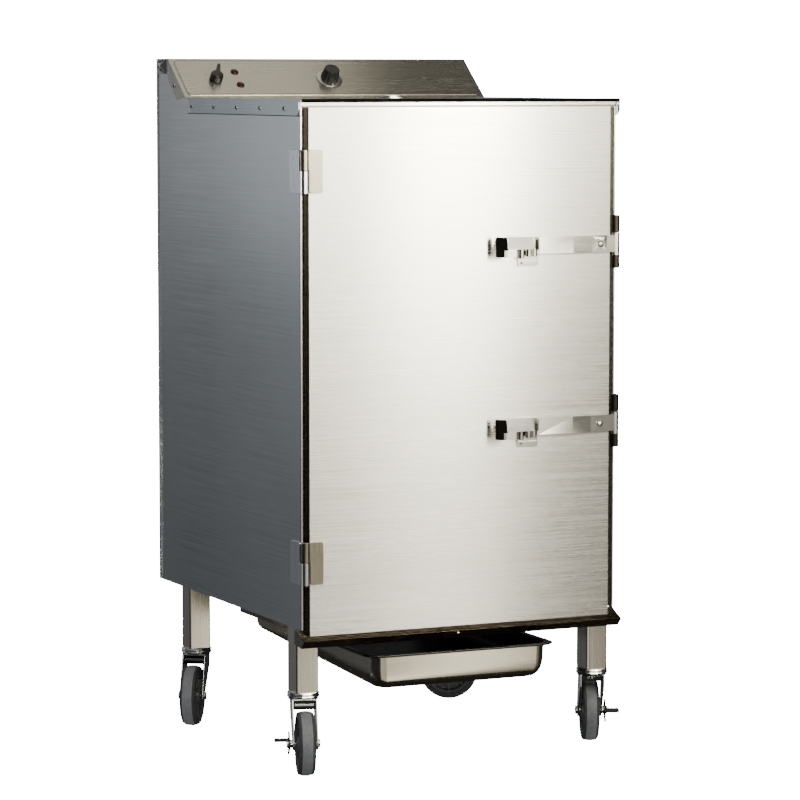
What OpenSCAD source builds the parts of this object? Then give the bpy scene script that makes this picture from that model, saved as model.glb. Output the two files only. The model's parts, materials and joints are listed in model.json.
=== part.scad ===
// Insulated holding and proofing cabinet on four casters.
// Millimetres, +Z up, the door faces -Y and hinges on the left (-X) side.
// The origin is on the floor under the middle of the whole object's bounding box.

/* [Cabinet] */
// Width over the two side panels
cab_w = 550; // [530:5:640]
// Depth of the side panels
cab_d = 605; // [590:5:680]
// Height of the flat top above the floor
top_z = 1052; // [1040:1:1150]
// Height of the side panels' lower edge above the floor
base_z = 230; // [226:1:236]
// Thickness of the outer sheet metal
sheet = 1.2; // [1:0.1:1.5]
// Thickness of the insulated walls
wall = 36; // [30:1:40]

/* [Control housing] */
// Height of the housing above the flat top
housing_h = 65; // [60:1:75]
// Distance from the back of the side panels to the foot of the sloping fascia
slope_from_back = 127.5; // [120:0.5:140]
// Depth of the housing's flat top
housing_flat = 46; // [40:1:55]
// Width of the control faceplate
faceplate_w = 540; // [500:5:540]

/* [Door] */
// Gap between the door's edges and the outside of the side panels
door_gap = 12.5; // [11:0.5:14]
// Distance that the door's face stands in front of the side panels
door_proud = 5; // [4:0.5:6]
// Thickness of the door pan
door_t = 19.5; // [18:0.5:21]
// Distance that the door reaches below the side panels' lower edge
door_drop = 10; // [6:1:10]
// Depth of the plug on the inside of the door
plug_depth = 20; // [10:1:24]

/* [Hinges and latches] */
// Height of the lower hinge's lower edge
lower_hinge_z = 301; // [290:1:340]
// Height of the upper hinge's lower edge
upper_hinge_z = 908; // [860:1:930]
// Length of a door hinge
hinge_h = 67; // [60:1:75]
// Height of the lower latch
lower_latch_z = 533; // [460:1:600]
// Height of the upper latch
upper_latch_z = 821; // [700:1:860]
// Height of the latch strap
strap_h = 26.6; // [24:0.1:30]

/* [Legs and casters] */
// Side of the square legs
leg_w = 38; // [36:1:40]
// Height of the legs' lower ends above the floor
leg_z = 128; // [124:1:132]
// Wheel radius
wheel_r = 50.8; // [48:0.1:52]
// Wheel width
wheel_w = 28; // [26:1:30]
// Distance from a caster's swivel axis to its axle
caster_lead = 35; // [32:1:38]
// Direction that the front left caster trails in, in degrees from +X
front_left_turn = 252; // [0:0.5:360]
// Direction that the front right caster trails in
front_right_turn = 67.5; // [0:0.5:360]
// Direction that the rear left caster trails in
rear_left_turn = 237; // [0:0.5:360]
// Direction that the rear right caster trails in
rear_right_turn = 154; // [0:0.5:360]

/* [Drip pan] */
// Width over the rim
pan_w = 330; // [320:1:335]
// Length over the rim
pan_l = 525; // [500:5:530]
// Height of the rim above the floor
pan_z = 190; // [186:1:194]
// Depth at the front end
pan_deep = 60; // [55:1:62]
// Depth at the rear end
pan_shallow = 31; // [28:1:40]
// Distance that the pan reaches in front of the cabinet's middle
pan_reach = 360; // [350:1:370]

/* [Racks] */
// Number of wire racks
rack_count = 5; // [3:1:6]
// Vertical distance between racks
rack_pitch = 120; // [100:5:130]

/* [Hidden] */
CASTER_TAGS = ["front_left", "front_right", "rear_left", "rear_right"];
LATCH_TAGS = ["lower", "upper"];

$fn = 48;
fit = 0.06;                                // running clearance of a pin in its bore
hinge_zs = [lower_hinge_z, upper_hinge_z];
latch_zs = [lower_latch_z, upper_latch_z];
caster_dirs = [front_left_turn, front_right_turn, rear_left_turn, rear_right_turn];
half_w = cab_w / 2;
half_d = cab_d / 2;
inner_w = half_w - sheet;                  // from the middle to the side panels' inner faces
inlet_reach = half_d + 27;                 // rearmost point of the power inlet
frame_y = (pan_reach - inlet_reach) / 2;

// Control housing
housing_z = top_z + housing_h;
slope_y = half_d - slope_from_back;
crest_y = half_d - housing_flat;
slope_run = crest_y - slope_y;
slope_a = atan2(housing_h, slope_run);
slope_len = sqrt(slope_run * slope_run + housing_h * housing_h);
back_step = 7;                             // depth of the back panel's folded edges
faceplate_margin = 6;
knob_s = slope_len * 0.46;                 // height of the knobs' axes along the slope
switch_x = -207;
lamp_x = -167.5;
lamp_s = [slope_len * 0.31, slope_len * 0.64];
lamp_r = 4;                                // radius of a pilot light's body
shaft_r = 3;                               // radius of a knob's shaft

// Cavity
cav_w = half_w - wall - 1;                 // half the cavity's clear width
cav_z0 = base_z + wall - 4;
cav_z1 = top_z - wall + 2;
cav_back = half_d - wall * 1.8;
liner_t = 1;
frame_front = -half_d + 17.5;              // front face of the face frame
frame_back = frame_front + 1.5;

// Door
door_y = -half_d - door_proud;             // door's front face
door_back = door_y + door_t;
door_x = half_w - door_gap;
door_z0 = base_z - door_drop;
door_z1 = top_z - 12;
gasket_w = 10;
plug_x = [-cav_w + 6, cav_w - 10];

// Hinges
hinge_x = -half_w + 5;
hinge_y = -half_d - 6.5;
knuckle_r = 6.2;
hinge_pin_r = 3;
leaf_t = 2.5;
hinge_split = hinge_h * 0.52;

// Latches, about the vertical axis of the lever
lever_x = 112;
lever_y = door_y - 9.5;
strap_dx = -12;
strap_dy = 2;
strap_y = lever_y - 0.5;
strike_x = half_w - 3;
strike_y = -half_d - 6.5;
strike_pin_r = 3;
strike_r = 6.5;
bolt_x = 240;
roof_top = [-6.5, 14];                     // lever plate's upper edge, from the lever axis
roof_low = [-19.5, -5];

// Legs and casters
leg_x = half_w - leg_w / 2;
leg_y_front = -half_d + 18.5 + leg_w / 2;
leg_y_rear = half_d - 92 - leg_w / 2;
leg_wall = 1.6;
LEG_XY = [[-leg_x, leg_y_front], [leg_x, leg_y_front], [-leg_x, leg_y_rear], [leg_x, leg_y_rear]];
race_r = 26;
race_z = leg_z - 9.5;                      // lower face of the fixed race
fork_top = race_z - 0.3;
fork_half = wheel_w / 2 + 6;               // outer faces of the fork arms
stem_r = 6;
axle_r = 4;
axle_head = 3.5;
brake_t = 3;                               // thickness of a side lock's plate
brake_gap = 0.3;                           // clearance on each side of that plate

// Drip pan
pan_x = -18;
rim_lip = 14;
pan_t = 1;
pan_mid_y = -pan_reach + pan_l / 2;
runner_x = pan_w / 2 + 1.5;

// Racks
rack_w = cav_w - 12;                       // half the racks' width
rack_y0 = frame_front + 30;
rack_y1 = cav_back - 14;
rack_z0 = cav_z0 + 122;
rail_sq = 6;

// Fixing screws as [x side, y, z]
screw_r = 2;
SCREWS = [for (sx = [-1, 1]) for (s = concat(
    [for (i = [0:4]) [-half_d + 60 + i * 97.5, top_z - 14.5]],
    [[slope_y + 52, top_z + 19], [half_d - 4.5, housing_z - 14.5]])) [sx, s[0], s[1]]];

module framed() translate([0, frame_y, 0]) children();

// A box between two corners
module span(low, high) translate(low) cube(high - low);

// An outline in the YZ plane, drawn as [y, z], with its thickness from x0 to x1
module side_plate(x0, x1) {
    translate([x0, 0, 0])
        rotate([90, 0, 90])
            linear_extrude(x1 - x0) children();
}

// An outline in the XZ plane, drawn as [x, z], with its thickness from y0 to y1
module front_plate(y0, y1) {
    translate([0, y1, 0])
        rotate([90, 0, 0])
            linear_extrude(y1 - y0) children();
}

// A rectangle with rounded corners, from low to high
module rounded(low, high, r) {
    w = high[0] - low[0];
    h = high[1] - low[1];
    translate(low) {
        translate([r, 0]) square([w - 2 * r, h]);
        translate([0, r]) square([w, h - 2 * r]);
        for (x = [r, w - r]) for (y = [r, h - r]) translate([x, y]) circle(r);
    }
}

// A place on the sloping fascia: s along the slope from its foot, out along its normal
module on_slope(x, s, out = 0) {
    translate([x, slope_y, top_z])
        rotate([slope_a, 0, 0])
            translate([0, s, out]) children();
}

module screw_holes() {
    for (s = SCREWS)
        translate([s[0] * half_w, s[1], s[2]])
            rotate([0, 90, 0]) cylinder(r = screw_r + 0.05, h = 12, center = true);
}

// ---- Outer shell ----

module side_outline() {
    drop = sheet / cos(slope_a);
    polygon([[-half_d, base_z], [half_d, base_z], [half_d, housing_z - sheet],
             [crest_y, housing_z - sheet], [crest_y, housing_z - drop],
             [slope_y + sheet, top_z - drop + sheet * tan(slope_a)],
             [slope_y + sheet, top_z - sheet], [-half_d, top_z - sheet]]);
}

module side_panel(sx) {
    edge = 3;
    difference() {
        union() {
            side_plate(sx > 0 ? inner_w : -half_w, sx > 0 ? half_w : -inner_w) side_outline();
            // folded front edge
            x = sx * (half_w - edge / 2);
            span([x - edge / 2, -half_d, base_z], [x + edge / 2, -half_d + sheet, top_z - 12]);
        }
        screw_holes();
    }
}

module left_side_panel() color("slategray") framed() side_panel(-1);
module right_side_panel() color("slategray") framed() side_panel(1);

module back_panel() {
    y1 = half_d + back_step + sheet;
    color("silver") framed()
        difference() {
            union() {
                difference() {
                    span([-half_w - sheet, half_d, base_z], [half_w + sheet, y1, housing_z]);
                    span([-half_w, half_d - 1, base_z + sheet], [half_w, y1 - sheet, housing_z - sheet]);
                }
                // ears over the sides of the control housing
                for (sx = [-1, 1])
                    side_plate(sx > 0 ? half_w : -half_w - sheet, sx > 0 ? half_w + sheet : -half_w)
                        rounded([half_d - 42, housing_z - 26], [y1, housing_z - sheet], 2);
            }
            screw_holes();
            for (i = [-4:4])
                span([i * 42 - 13, half_d + 1, housing_z - 50], [i * 42 + 13, y1 + 1, housing_z - 44]);
            translate([180, y1 + 1, housing_z - 34])
                rotate([90, 0, 0]) cylinder(r = 11.2, h = 10);
        }
}

module bottom_panel() {
    color("silver") framed()
        difference() {
            union() {
                span([-inner_w, frame_back, base_z], [inner_w, half_d, base_z + sheet]);
                // turned-up rear edge
                span([-inner_w, half_d - sheet, base_z], [inner_w, half_d, base_z + 20]);
            }
            translate([pan_x, 0, base_z - 1]) cylinder(r = 13.1, h = 5);
        }
}

module top_cover() {
    overhang = 11.2;
    front = -half_d - overhang;
    flange_h = 25;
    color("gainsboro") framed()
        difference() {
            union() {
                span([-half_w - sheet, front, top_z - sheet], [half_w + sheet, slope_y, top_z]);
                // front hem
                span([-half_w - sheet, front, top_z - 4.5], [half_w + sheet, front + sheet, top_z]);
                // side flanges with a rounded front corner and a slanted rear end
                for (sx = [-1, 1])
                    side_plate(sx > 0 ? half_w : -half_w - sheet, sx > 0 ? half_w + sheet : -half_w)
                        difference() {
                            y0 = sx > 0 ? front : -half_d + 1.5;
                            polygon([[y0, top_z], [y0, top_z - flange_h], [slope_y - 27, top_z - flange_h],
                                     [slope_y - 9, top_z]]);
                            translate([y0, top_z - flange_h])
                                difference() {
                                    translate([-1, -1]) square(11);
                                    translate([10, 10]) circle(10);
                                }
                        }
            }
            screw_holes();
            translate([0, -40, top_z - 5]) cylinder(r = 17.1, h = 10);
        }
}

// Five flat sheets that meet in hairline seams
module inner_liner() {
    seam = 0.1;
    x1 = cav_w + liner_t;
    y1 = cav_back + liner_t;
    z0 = cav_z0 + seam;
    z1 = cav_z1 - seam;
    color("gainsboro") framed()
        difference() {
            union() {
                span([-x1, frame_back, cav_z0 - liner_t], [x1, y1, cav_z0]);
                span([-x1, frame_back, cav_z1], [x1, y1, cav_z1 + liner_t]);
                span([-x1, frame_back, z0], [-cav_w, y1, z1]);
                span([cav_w, frame_back, z0], [x1, y1, z1]);
                span([-cav_w + seam, cav_back, z0], [cav_w - seam, y1, z1]);
            }
            translate([pan_x, 0, cav_z0 - 3]) cylinder(r = 13.1, h = 5);
            translate([0, -40, cav_z1 - 1]) cylinder(r = 17.1, h = 5);
            for (x = [-60, 60])
                translate([x, cav_back - 1, cav_z0 + 22]) rotate([-90, 0, 0]) cylinder(r = 4.1, h = 5);
        }
}

module face_frame() {
    color("gainsboro") framed() {
        front_plate(frame_front, frame_back)
            difference() {
                translate([-inner_w, base_z]) square([2 * inner_w, top_z - sheet - base_z]);
                translate([-cav_w, cav_z0]) square([2 * cav_w, cav_z1 - cav_z0]);
            }
        // header channel above the door
        difference() {
            span([-inner_w, -half_d + 0.5, door_z1 + 2], [inner_w, frame_front, top_z - sheet]);
            span([-inner_w - 1, -half_d + 2, door_z1 + 3.5], [inner_w + 1, frame_front + 1, top_z]);
        }
    }
}

module insulation() {
    gap = 0.3;
    color("khaki") framed()
        difference() {
            span([-inner_w + gap, frame_back + gap, base_z + sheet + gap],
                 [inner_w - gap, half_d - sheet - gap, top_z - sheet - gap]);
            span([-cav_w - liner_t - gap, frame_back, cav_z0 - liner_t - gap],
                 [cav_w + liner_t + gap, cav_back + liner_t + gap, cav_z1 + liner_t + gap]);
            translate([pan_x, 0, base_z]) cylinder(r = 13.5, h = wall);
            translate([0, -40, cav_z1]) cylinder(r = 17.5, h = wall + 5);
            // room for the element's ends and the screws
            span([-80, cav_back, cav_z0 + 8], [80, half_d, cav_z0 + 60]);
            for (s = SCREWS)
                translate([s[0] * inner_w, s[1], s[2]])
                    rotate([0, 90, 0]) cylinder(r = 4, h = 20, center = true);
        }
}

module vent_collar() {
    color("silver") framed()
        translate([0, -40, 0])
            difference() {
                union() {
                    translate([0, 0, cav_z1]) cylinder(r = 17, h = top_z + 4 - cav_z1);
                    translate([0, 0, top_z]) cylinder(r = 24, h = 1.5);
                }
                translate([0, 0, cav_z1 - 1]) cylinder(r = 15.5, h = wall + 10);
            }
}

module drain_tube() {
    low = pan_z + 12;
    color("silver") framed()
        translate([pan_x, 0, 0])
            difference() {
                translate([0, 0, low]) cylinder(r = 13, h = cav_z0 - low);
                translate([0, 0, low - 1]) cylinder(r = 11.5, h = cav_z0 - low + 2);
            }
}

// ---- Control housing ----

module control_fascia() {
    color("tan") framed()
        difference() {
            union() {
                // sloping plate
                on_slope(0, 0, -sheet) span([-half_w - sheet, 0.9, 0], [half_w + sheet, slope_len, sheet]);
                // flat top up to the back panel
                span([-half_w - sheet, crest_y - 0.2, housing_z - sheet],
                     [half_w + sheet, half_d, housing_z]);
                // flanges over the side panels
                for (sx = [-1, 1])
                    side_plate(sx > 0 ? half_w : -half_w - sheet, sx > 0 ? half_w + sheet : -half_w)
                        polygon([[slope_y + 4, top_z + 2], [slope_y + 41, top_z - 3],
                                 [crest_y - 2, top_z + 28], [crest_y + 2, housing_z - 0.6],
                                 [crest_y - 0.6, housing_z - 0.6]]);
            }
            screw_holes();
            for (x = [switch_x, 0]) on_slope(x, knob_s, -5) cylinder(r = shaft_r + 1, h = 10);
            for (s = lamp_s) on_slope(lamp_x, s, -5) cylinder(r = lamp_r + 0.1, h = 10);
        }
}

module control_faceplate() {
    r = 9;
    t = 0.8;
    color("tan") framed()
        on_slope(0, 0)
            linear_extrude(t)
                difference() {
                    rounded([-faceplate_w / 2, faceplate_margin],
                            [faceplate_w / 2, slope_len - faceplate_margin], r);
                    for (x = [switch_x, 0]) translate([x, knob_s]) circle(shaft_r + 1);
                    for (s = lamp_s) translate([lamp_x, s]) circle(lamp_r + 0.1);
                }
}

module pilot_lights() {
    color("darkred") framed()
        for (s = lamp_s)
            on_slope(lamp_x, s, 0) {
                translate([0, 0, -18]) cylinder(r = lamp_r, h = 20);
                translate([0, 0, 0.8]) cylinder(r1 = 6, r2 = 5.2, h = 1.6);
                translate([0, 0, 2.4])
                    intersection() {
                        translate([0, 0, -3]) sphere(5.6);
                        cylinder(r = 6, h = 4);
                    }
            }
}

module control_switches() {
    color("dimgray") framed()
        for (x = [switch_x, 0])
            on_slope(x, knob_s, -sheet) {
                difference() {
                    span([-16, -14, -26], [16, 14, 0]);
                    translate([0, 0, -20]) cylinder(r = shaft_r + fit, h = 25);
                }
            }
}

module power_inlet() {
    y1 = half_d + back_step + sheet;
    color("dimgray") framed()
        translate([180, y1, housing_z - 34])
            rotate([-90, 0, 0])
                difference() {
                    union() {
                        translate([0, 0, -6]) cylinder(r = 11, h = 8);
                        cylinder(r = 15, h = 4, $fn = 6);
                        translate([0, 0, 4]) cylinder(r = 12, h = 6);
                        translate([0, 0, 10]) cylinder(r1 = 12, r2 = 9, h = inlet_reach - y1 - 10);
                    }
                    translate([0, 0, -7]) cylinder(r = 5, h = 40);
                }
}

module cover_screws() {
    color("silver") framed()
        for (s = SCREWS)
            translate([s[0] * (half_w + sheet), s[1], s[2]])
                rotate([0, s[0] * 90, 0]) {
                    translate([0, 0, -8]) cylinder(r = screw_r, h = 9);
                    difference() {
                        cylinder(r1 = 4.2, r2 = 2.6, h = 2);
                        translate([0, 0, 1.2]) cube([5, 0.9, 2], center = true);
                    }
                }
}

// ---- Under the cabinet ----

module drip_gutter() {
    reach = 20.5;
    lip_y = -half_d - reach;
    lip_z = base_z - 15;
    floor_z = base_z - 27;
    t = 1.2;
    end_x = half_w + 3;
    color("dimgray") framed() {
        side_plate(-end_x, end_x)
            polygon([[frame_front, base_z - 1], [frame_front - t, base_z - 1],
                     [frame_front - t, floor_z + 3 + t], [lip_y + 10, floor_z + t],
                     [lip_y + t, lip_z], [lip_y, lip_z],
                     [lip_y + 10 - t * 0.6, floor_z], [frame_front, floor_z + 3]]);
        // tab that is riveted to the face frame
        span([-inner_w + 1, frame_front - t, base_z - 2], [inner_w - 1, frame_front, base_z + 6]);
        for (sx = [-1, 1])
            side_plate(sx > 0 ? end_x : -end_x - t, sx > 0 ? end_x + t : -end_x)
                polygon([[frame_front, base_z - 1], [lip_y + 30, base_z - 1], [lip_y, lip_z],
                         [lip_y + 10, floor_z], [frame_front, floor_z + 3]]);
    }
}

module pan_runners() {
    y0 = -half_d + 130;
    y1 = pan_mid_y + pan_l / 2 + 3;
    t = 1.5;
    lip = 9;
    color("dimgray") framed()
        translate([pan_x, 0, 0])
            for (sx = [-1, 1])
                mirror([sx < 0 ? 1 : 0, 0, 0]) {
                    span([runner_x, y0, pan_z - 4], [runner_x + t, y1, base_z]);
                    span([runner_x - lip, y0, pan_z - 4], [runner_x, y1, pan_z - 4 + t]);
                    span([runner_x, y0, base_z - t], [runner_x + 16, y1, base_z]);
                    // rear stop
                    span([runner_x - lip, y1 - t, pan_z - 4], [runner_x, y1, pan_z + 10]);
                }
}

module tray(w, l, deep_front, deep_rear, r, lip) {
    // closed body of the tray between its rim and its sloping floor
    difference() {
        translate([0, 0, -deep_front])
            linear_extrude(deep_front) rounded([-w / 2 + lip, -l / 2 + lip], [w / 2 - lip, l / 2 - lip], r);
        rotate([90, 0, 90])
            translate([0, 0, -w])
                linear_extrude(2 * w)
                    polygon([[-l / 2, -deep_front], [l / 2, -deep_rear], [l / 2, -deep_front - 5],
                             [-l / 2, -deep_front - 5]]);
    }
}

module drip_pan() {
    r = 30;
    color("silver") framed()
        translate([pan_x, pan_mid_y, pan_z])
            difference() {
                union() {
                    tray(pan_w, pan_l, pan_deep, pan_shallow, r, rim_lip);
                    translate([0, 0, -2])
                        linear_extrude(2) rounded([-pan_w / 2, -pan_l / 2], [pan_w / 2, pan_l / 2], r + 8);
                }
                translate([0, 0, pan_t * 2]) pan_hollow();
            }
}

// Hollow of the drip pan, one sheet smaller all round
module pan_hollow() {
    tray(pan_w, pan_l, pan_deep + pan_t, pan_shallow + pan_t, 29, rim_lip + pan_t);
}

module legs() {
    color("wheat") framed()
        for (p = LEG_XY)
            translate([p[0], p[1], leg_z])
                difference() {
                    translate([-leg_w / 2, -leg_w / 2, 0]) cube([leg_w, leg_w, base_z - leg_z]);
                    translate([-leg_w / 2 + leg_wall, -leg_w / 2 + leg_wall, 3])
                        cube([leg_w - 2 * leg_wall, leg_w - 2 * leg_wall, base_z]);
                    translate([0, 0, -1]) cylinder(r = stem_r + 0.2, h = 5);
                }
}

module caster_races() {
    color("silver") framed()
        for (p = LEG_XY)
            translate([p[0], p[1], 0]) {
                difference() {
                    translate([0, 0, race_z])
                        rotate_extrude()
                            difference() {
                                union() {
                                    square([race_r - 3, leg_z - race_z]);
                                    translate([race_r - 3, 3]) circle(3);
                                    translate([race_r - 4, leg_z - race_z - 2.2]) circle(2.2);
                                }
                                translate([-10, -1]) square([10, 20]);
                            }
                    translate([0, 0, race_z - 1]) cylinder(r = stem_r, h = 12);
                }
                translate([0, 0, race_z - 9]) cylinder(r = stem_r, h = 24);
                translate([0, 0, race_z - 9.5]) cylinder(r = 9, h = 3.5, $fn = 6);
            }
}

// ---- Casters, drawn with the wheel trailing along +X ----

module at_caster(k) {
    translate([LEG_XY[k][0], LEG_XY[k][1], 0])
        rotate([0, 0, caster_dirs[k]]) children();
}

module caster_fork(k) {
    arm_t = 2.5;
    color("lightgray") framed()
        at_caster(k) {
            difference() {
                union() {
                    translate([0, 0, fork_top - 2.5]) cylinder(r = 24, h = 2.5);
                    span([-16, -fork_half, fork_top - 2.5], [24, fork_half, fork_top]);
                }
                translate([0, 0, fork_top - 4]) cylinder(r = stem_r + fit, h = 6);
            }
            for (sy = [-1, 1])
                difference() {
                    y0 = sy > 0 ? fork_half - arm_t : -fork_half;
                    front_plate(y0, y0 + arm_t) {
                        polygon([[-16, fork_top], [24, fork_top], [caster_lead + 11, wheel_r],
                                 [caster_lead - 4, wheel_r - 10], [caster_lead - 12, wheel_r + 2],
                                 [-16, fork_top - 22]]);
                        translate([caster_lead, wheel_r]) circle(11);
                    }
                    translate([caster_lead, 0, wheel_r])
                        rotate([90, 0, 0]) cylinder(r = axle_r, h = 3 * fork_half, center = true);
                }
        }
}

module caster_axle(k) {
    color("silver") framed()
        at_caster(k)
            translate([caster_lead, 0, wheel_r])
                rotate([90, 0, 0]) {
                    cylinder(r = axle_r, h = 2 * fork_half, center = true);
                    for (sz = [-1, 1])
                        translate([0, 0, sz * (fork_half + axle_head / 2)])
                            cylinder(r = 7, h = axle_head, center = true, $fn = 6);
                    // longer end that carries the side lock
                    if (k < 2)
                        translate([0, 0, fork_half + axle_head]) {
                            cylinder(r = axle_r, h = brake_t + 2 * brake_gap);
                            translate([0, 0, brake_t + 2 * brake_gap]) cylinder(r = 6.5, h = 2.5);
                        }
                }
}

module caster_hub(k) {
    color("dimgray") framed()
        at_caster(k)
            translate([caster_lead, 0, wheel_r])
                rotate([90, 0, 0])
                    rotate_extrude()
                        polygon([[axle_r + fit, -wheel_w / 2], [12, -wheel_w / 2],
                                 [14, -4], [wheel_r - 18, -4],
                                 [wheel_r - 15, -wheel_w / 2 + 2], [wheel_r - 12, -wheel_w / 2 + 2],
                                 [wheel_r - 12, wheel_w / 2 - 2], [wheel_r - 15, wheel_w / 2 - 2],
                                 [wheel_r - 18, 4], [14, 4], [12, wheel_w / 2], [axle_r + fit, wheel_w / 2]]);
}

module caster_tyre(k) {
    color("dimgray") framed()
        at_caster(k)
            translate([caster_lead, 0, wheel_r])
                rotate([90, 0, 0])
                    rotate_extrude()
                        polygon([[wheel_r - 12, -wheel_w / 2 + 1], [wheel_r - 5, -wheel_w / 2],
                                 [wheel_r - 1.5, -wheel_w / 2 + 4], [wheel_r, -wheel_w / 2 + 9],
                                 [wheel_r, wheel_w / 2 - 9], [wheel_r - 1.5, wheel_w / 2 - 4],
                                 [wheel_r - 5, wheel_w / 2], [wheel_r - 12, wheel_w / 2 - 1]]);
}

// Side lock: a lever on the axle's longer end, with a ribbed tread that stands out sideways
module brake_pedal(k) {
    y1 = -fork_half - axle_head - brake_gap;
    y0 = y1 - brake_t;
    reach = 47;                            // tread's outer end, from the wheel's middle
    tread = [-25, -9];                     // tread's ends, from the axle towards the swivel
    rib_step = 4.5;
    color("gray") framed()
        at_caster(k)
            translate([caster_lead, 0, wheel_r])
                difference() {
                    union() {
                        front_plate(y0, y1) {
                            circle(10);
                            polygon([[-5, 8], [-15, 7], [tread[0], 4], [tread[0], 1], [-15, -2], [-6, -8]]);
                            // hook above the axle, for the toe that lifts the lock
                            polygon([[-2, 9], [-9, 18], [-5, 19], [5, 8]]);
                            // toe that meets the tyre when the tread is pressed down
                            polygon([[-4, -9], [-13, -17], [-9, -19], [2, -9]]);
                        }
                        span([tread[0], -reach, 1], [tread[1], y0, 4]);
                        span([tread[0], -reach, -1], [tread[0] + 2.5, y0, 1]);
                        for (i = [0:3])
                            span([tread[0] + 2, -reach + 2 + i * rib_step, 4],
                                 [tread[1] - 2, -reach + 4 + i * rib_step, 5]);
                    }
                    rotate([90, 0, 0]) cylinder(r = axle_r + fit, h = 200, center = true);
                }
}

// ---- Hinges and strikes ----

module hinge_body_leaves() {
    color("silver") framed()
        for (z = hinge_zs) {
            // leaf on the side panel
            side_plate(-half_w - leaf_t, -half_w) {
                rounded([-half_d + 0.3, z], [-half_d + 36.5, z + hinge_h], 3);
                translate([hinge_y, z]) square([12, hinge_split - 0.5]);
            }
            difference() {
                union() {
                    translate([hinge_x, hinge_y, z]) cylinder(r = knuckle_r, h = hinge_split - 0.5);
                    span([-half_w - leaf_t, hinge_y - 2, z],
                         [hinge_x - 3, hinge_y + 3, z + hinge_split - 0.5]);
                }
                translate([hinge_x, hinge_y, z - 1]) cylinder(r = hinge_pin_r, h = hinge_h);
            }
            translate([hinge_x, hinge_y, z]) cylinder(r = hinge_pin_r, h = hinge_h - 4);
        }
}

module hinge_door_leaves() {
    color("silver") framed()
        for (z = hinge_zs)
            difference() {
                union() {
                    front_plate(door_y - leaf_t, door_y)
                        rounded([-door_x, z], [-door_x + 22.5, z + hinge_h], 4);
                    translate([hinge_x, hinge_y, z + hinge_split])
                        cylinder(r = knuckle_r, h = hinge_h - hinge_split);
                    span([hinge_x, door_y - leaf_t, z + hinge_split], [-door_x + 6, door_y, z + hinge_h]);
                }
                translate([hinge_x, hinge_y, z + hinge_split - 1])
                    cylinder(r = hinge_pin_r + fit, h = hinge_h - hinge_split - 1.5);
            }
}

module strike_brackets() {
    low = -39.5;
    high = 45;
    gap = [-19, 17.5];
    color("silver") framed()
        for (z = latch_zs)
            translate([0, 0, z]) {
                side_plate(half_w, half_w + leaf_t)
                    rounded([-half_d + 0.3, low], [-half_d + 36.5, high], 3);
                for (part = [[low, gap[0]], [gap[1], high]]) {
                    difference() {
                        translate([strike_x, strike_y, part[0]])
                            cylinder(r = strike_r, h = part[1] - part[0]);
                        translate([strike_x, strike_y, low - 1])
                            cylinder(r = strike_pin_r, h = high - low + 2);
                    }
                    difference() {
                        span([strike_x, strike_y - 1, part[0]], [half_w + leaf_t, -half_d + 3, part[1]]);
                        translate([strike_x, strike_y, low - 1])
                            cylinder(r = strike_r - 1, h = high - low + 2);
                        span([0, -half_d, low - 1], [half_w, -half_d + 9, high + 1]);
                    }
                }
                translate([strike_x, strike_y, low]) cylinder(r = strike_pin_r, h = high - low);
            }
}

// ---- Door ----

module door_skin() {
    color("gainsboro") framed()
        difference() {
            span([-door_x, door_y, door_z0], [door_x, door_back, door_z1]);
            span([-door_x + sheet, door_y + sheet, door_z0 + sheet],
                 [door_x - sheet, door_back + 1, door_z1 - sheet]);
        }
}

module plug_block(shrink, y1) {
    span([plug_x[0] + shrink, door_back - sheet, cav_z0 + 8 + shrink],
         [plug_x[1] - shrink, y1 - shrink, cav_z1 - 8 - shrink]);
}

module door_inner_panel() {
    color("gainsboro") framed()
        difference() {
            union() {
                span([-door_x + sheet, door_back - sheet, door_z0 + sheet],
                     [door_x - sheet, door_back, door_z1 - sheet]);
                plug_block(0, door_back + plug_depth);
            }
            translate([0, -0.1, 0]) plug_block(sheet, door_back + plug_depth);
        }
}

module door_insulation() {
    gap = 0.3;
    color("khaki") framed() {
        span([-door_x + sheet + gap, door_y + sheet + gap, door_z0 + sheet + gap],
             [door_x - sheet - gap, door_back - sheet - gap, door_z1 - sheet - gap]);
        span([plug_x[0] + 2, door_back - sheet - gap, cav_z0 + 10],
             [plug_x[1] - 2, door_back + plug_depth - 2, cav_z1 - 10]);
    }
}

module door_gasket() {
    in = 3;
    color("dimgray") framed()
        front_plate(door_back, frame_front)
            difference() {
                rounded([-cav_w - in - gasket_w, cav_z0 - in - gasket_w],
                        [cav_w + in + gasket_w, cav_z1 + in + gasket_w], 8);
                translate([-cav_w - in, cav_z0 - in])
                    square([2 * (cav_w + in), cav_z1 - cav_z0 + 2 * in]);
            }
}

// ---- Latches, drawn about the lever's axis at the latch's height ----

module at_latch(k) {
    translate([lever_x, lever_y, latch_zs[k]]) children();
}

module latch_bases() {
    pin_r = 2.5;
    color("silver") framed()
        for (k = [0, 1])
            at_latch(k) {
                face = door_y - lever_y;
                front_plate(face - leaf_t, face) rounded([-16, -33], [20, 14], 3);
                // barrel that holds the pin
                difference() {
                    union() {
                        translate([0, 0, 4]) cylinder(r = 5, h = 9);
                        span([-5, 0, 4], [5, face - leaf_t, 13]);
                    }
                    translate([0, 0, 3]) cylinder(r = pin_r, h = 12);
                }
                translate([0, 0, -4]) cylinder(r = pin_r, h = 17);
                // folded seat under the strap's eye
                front_plate(face - leaf_t - 5, face - leaf_t) rounded([-10, -30], [18, -23.5], 2);
            }
}

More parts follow.
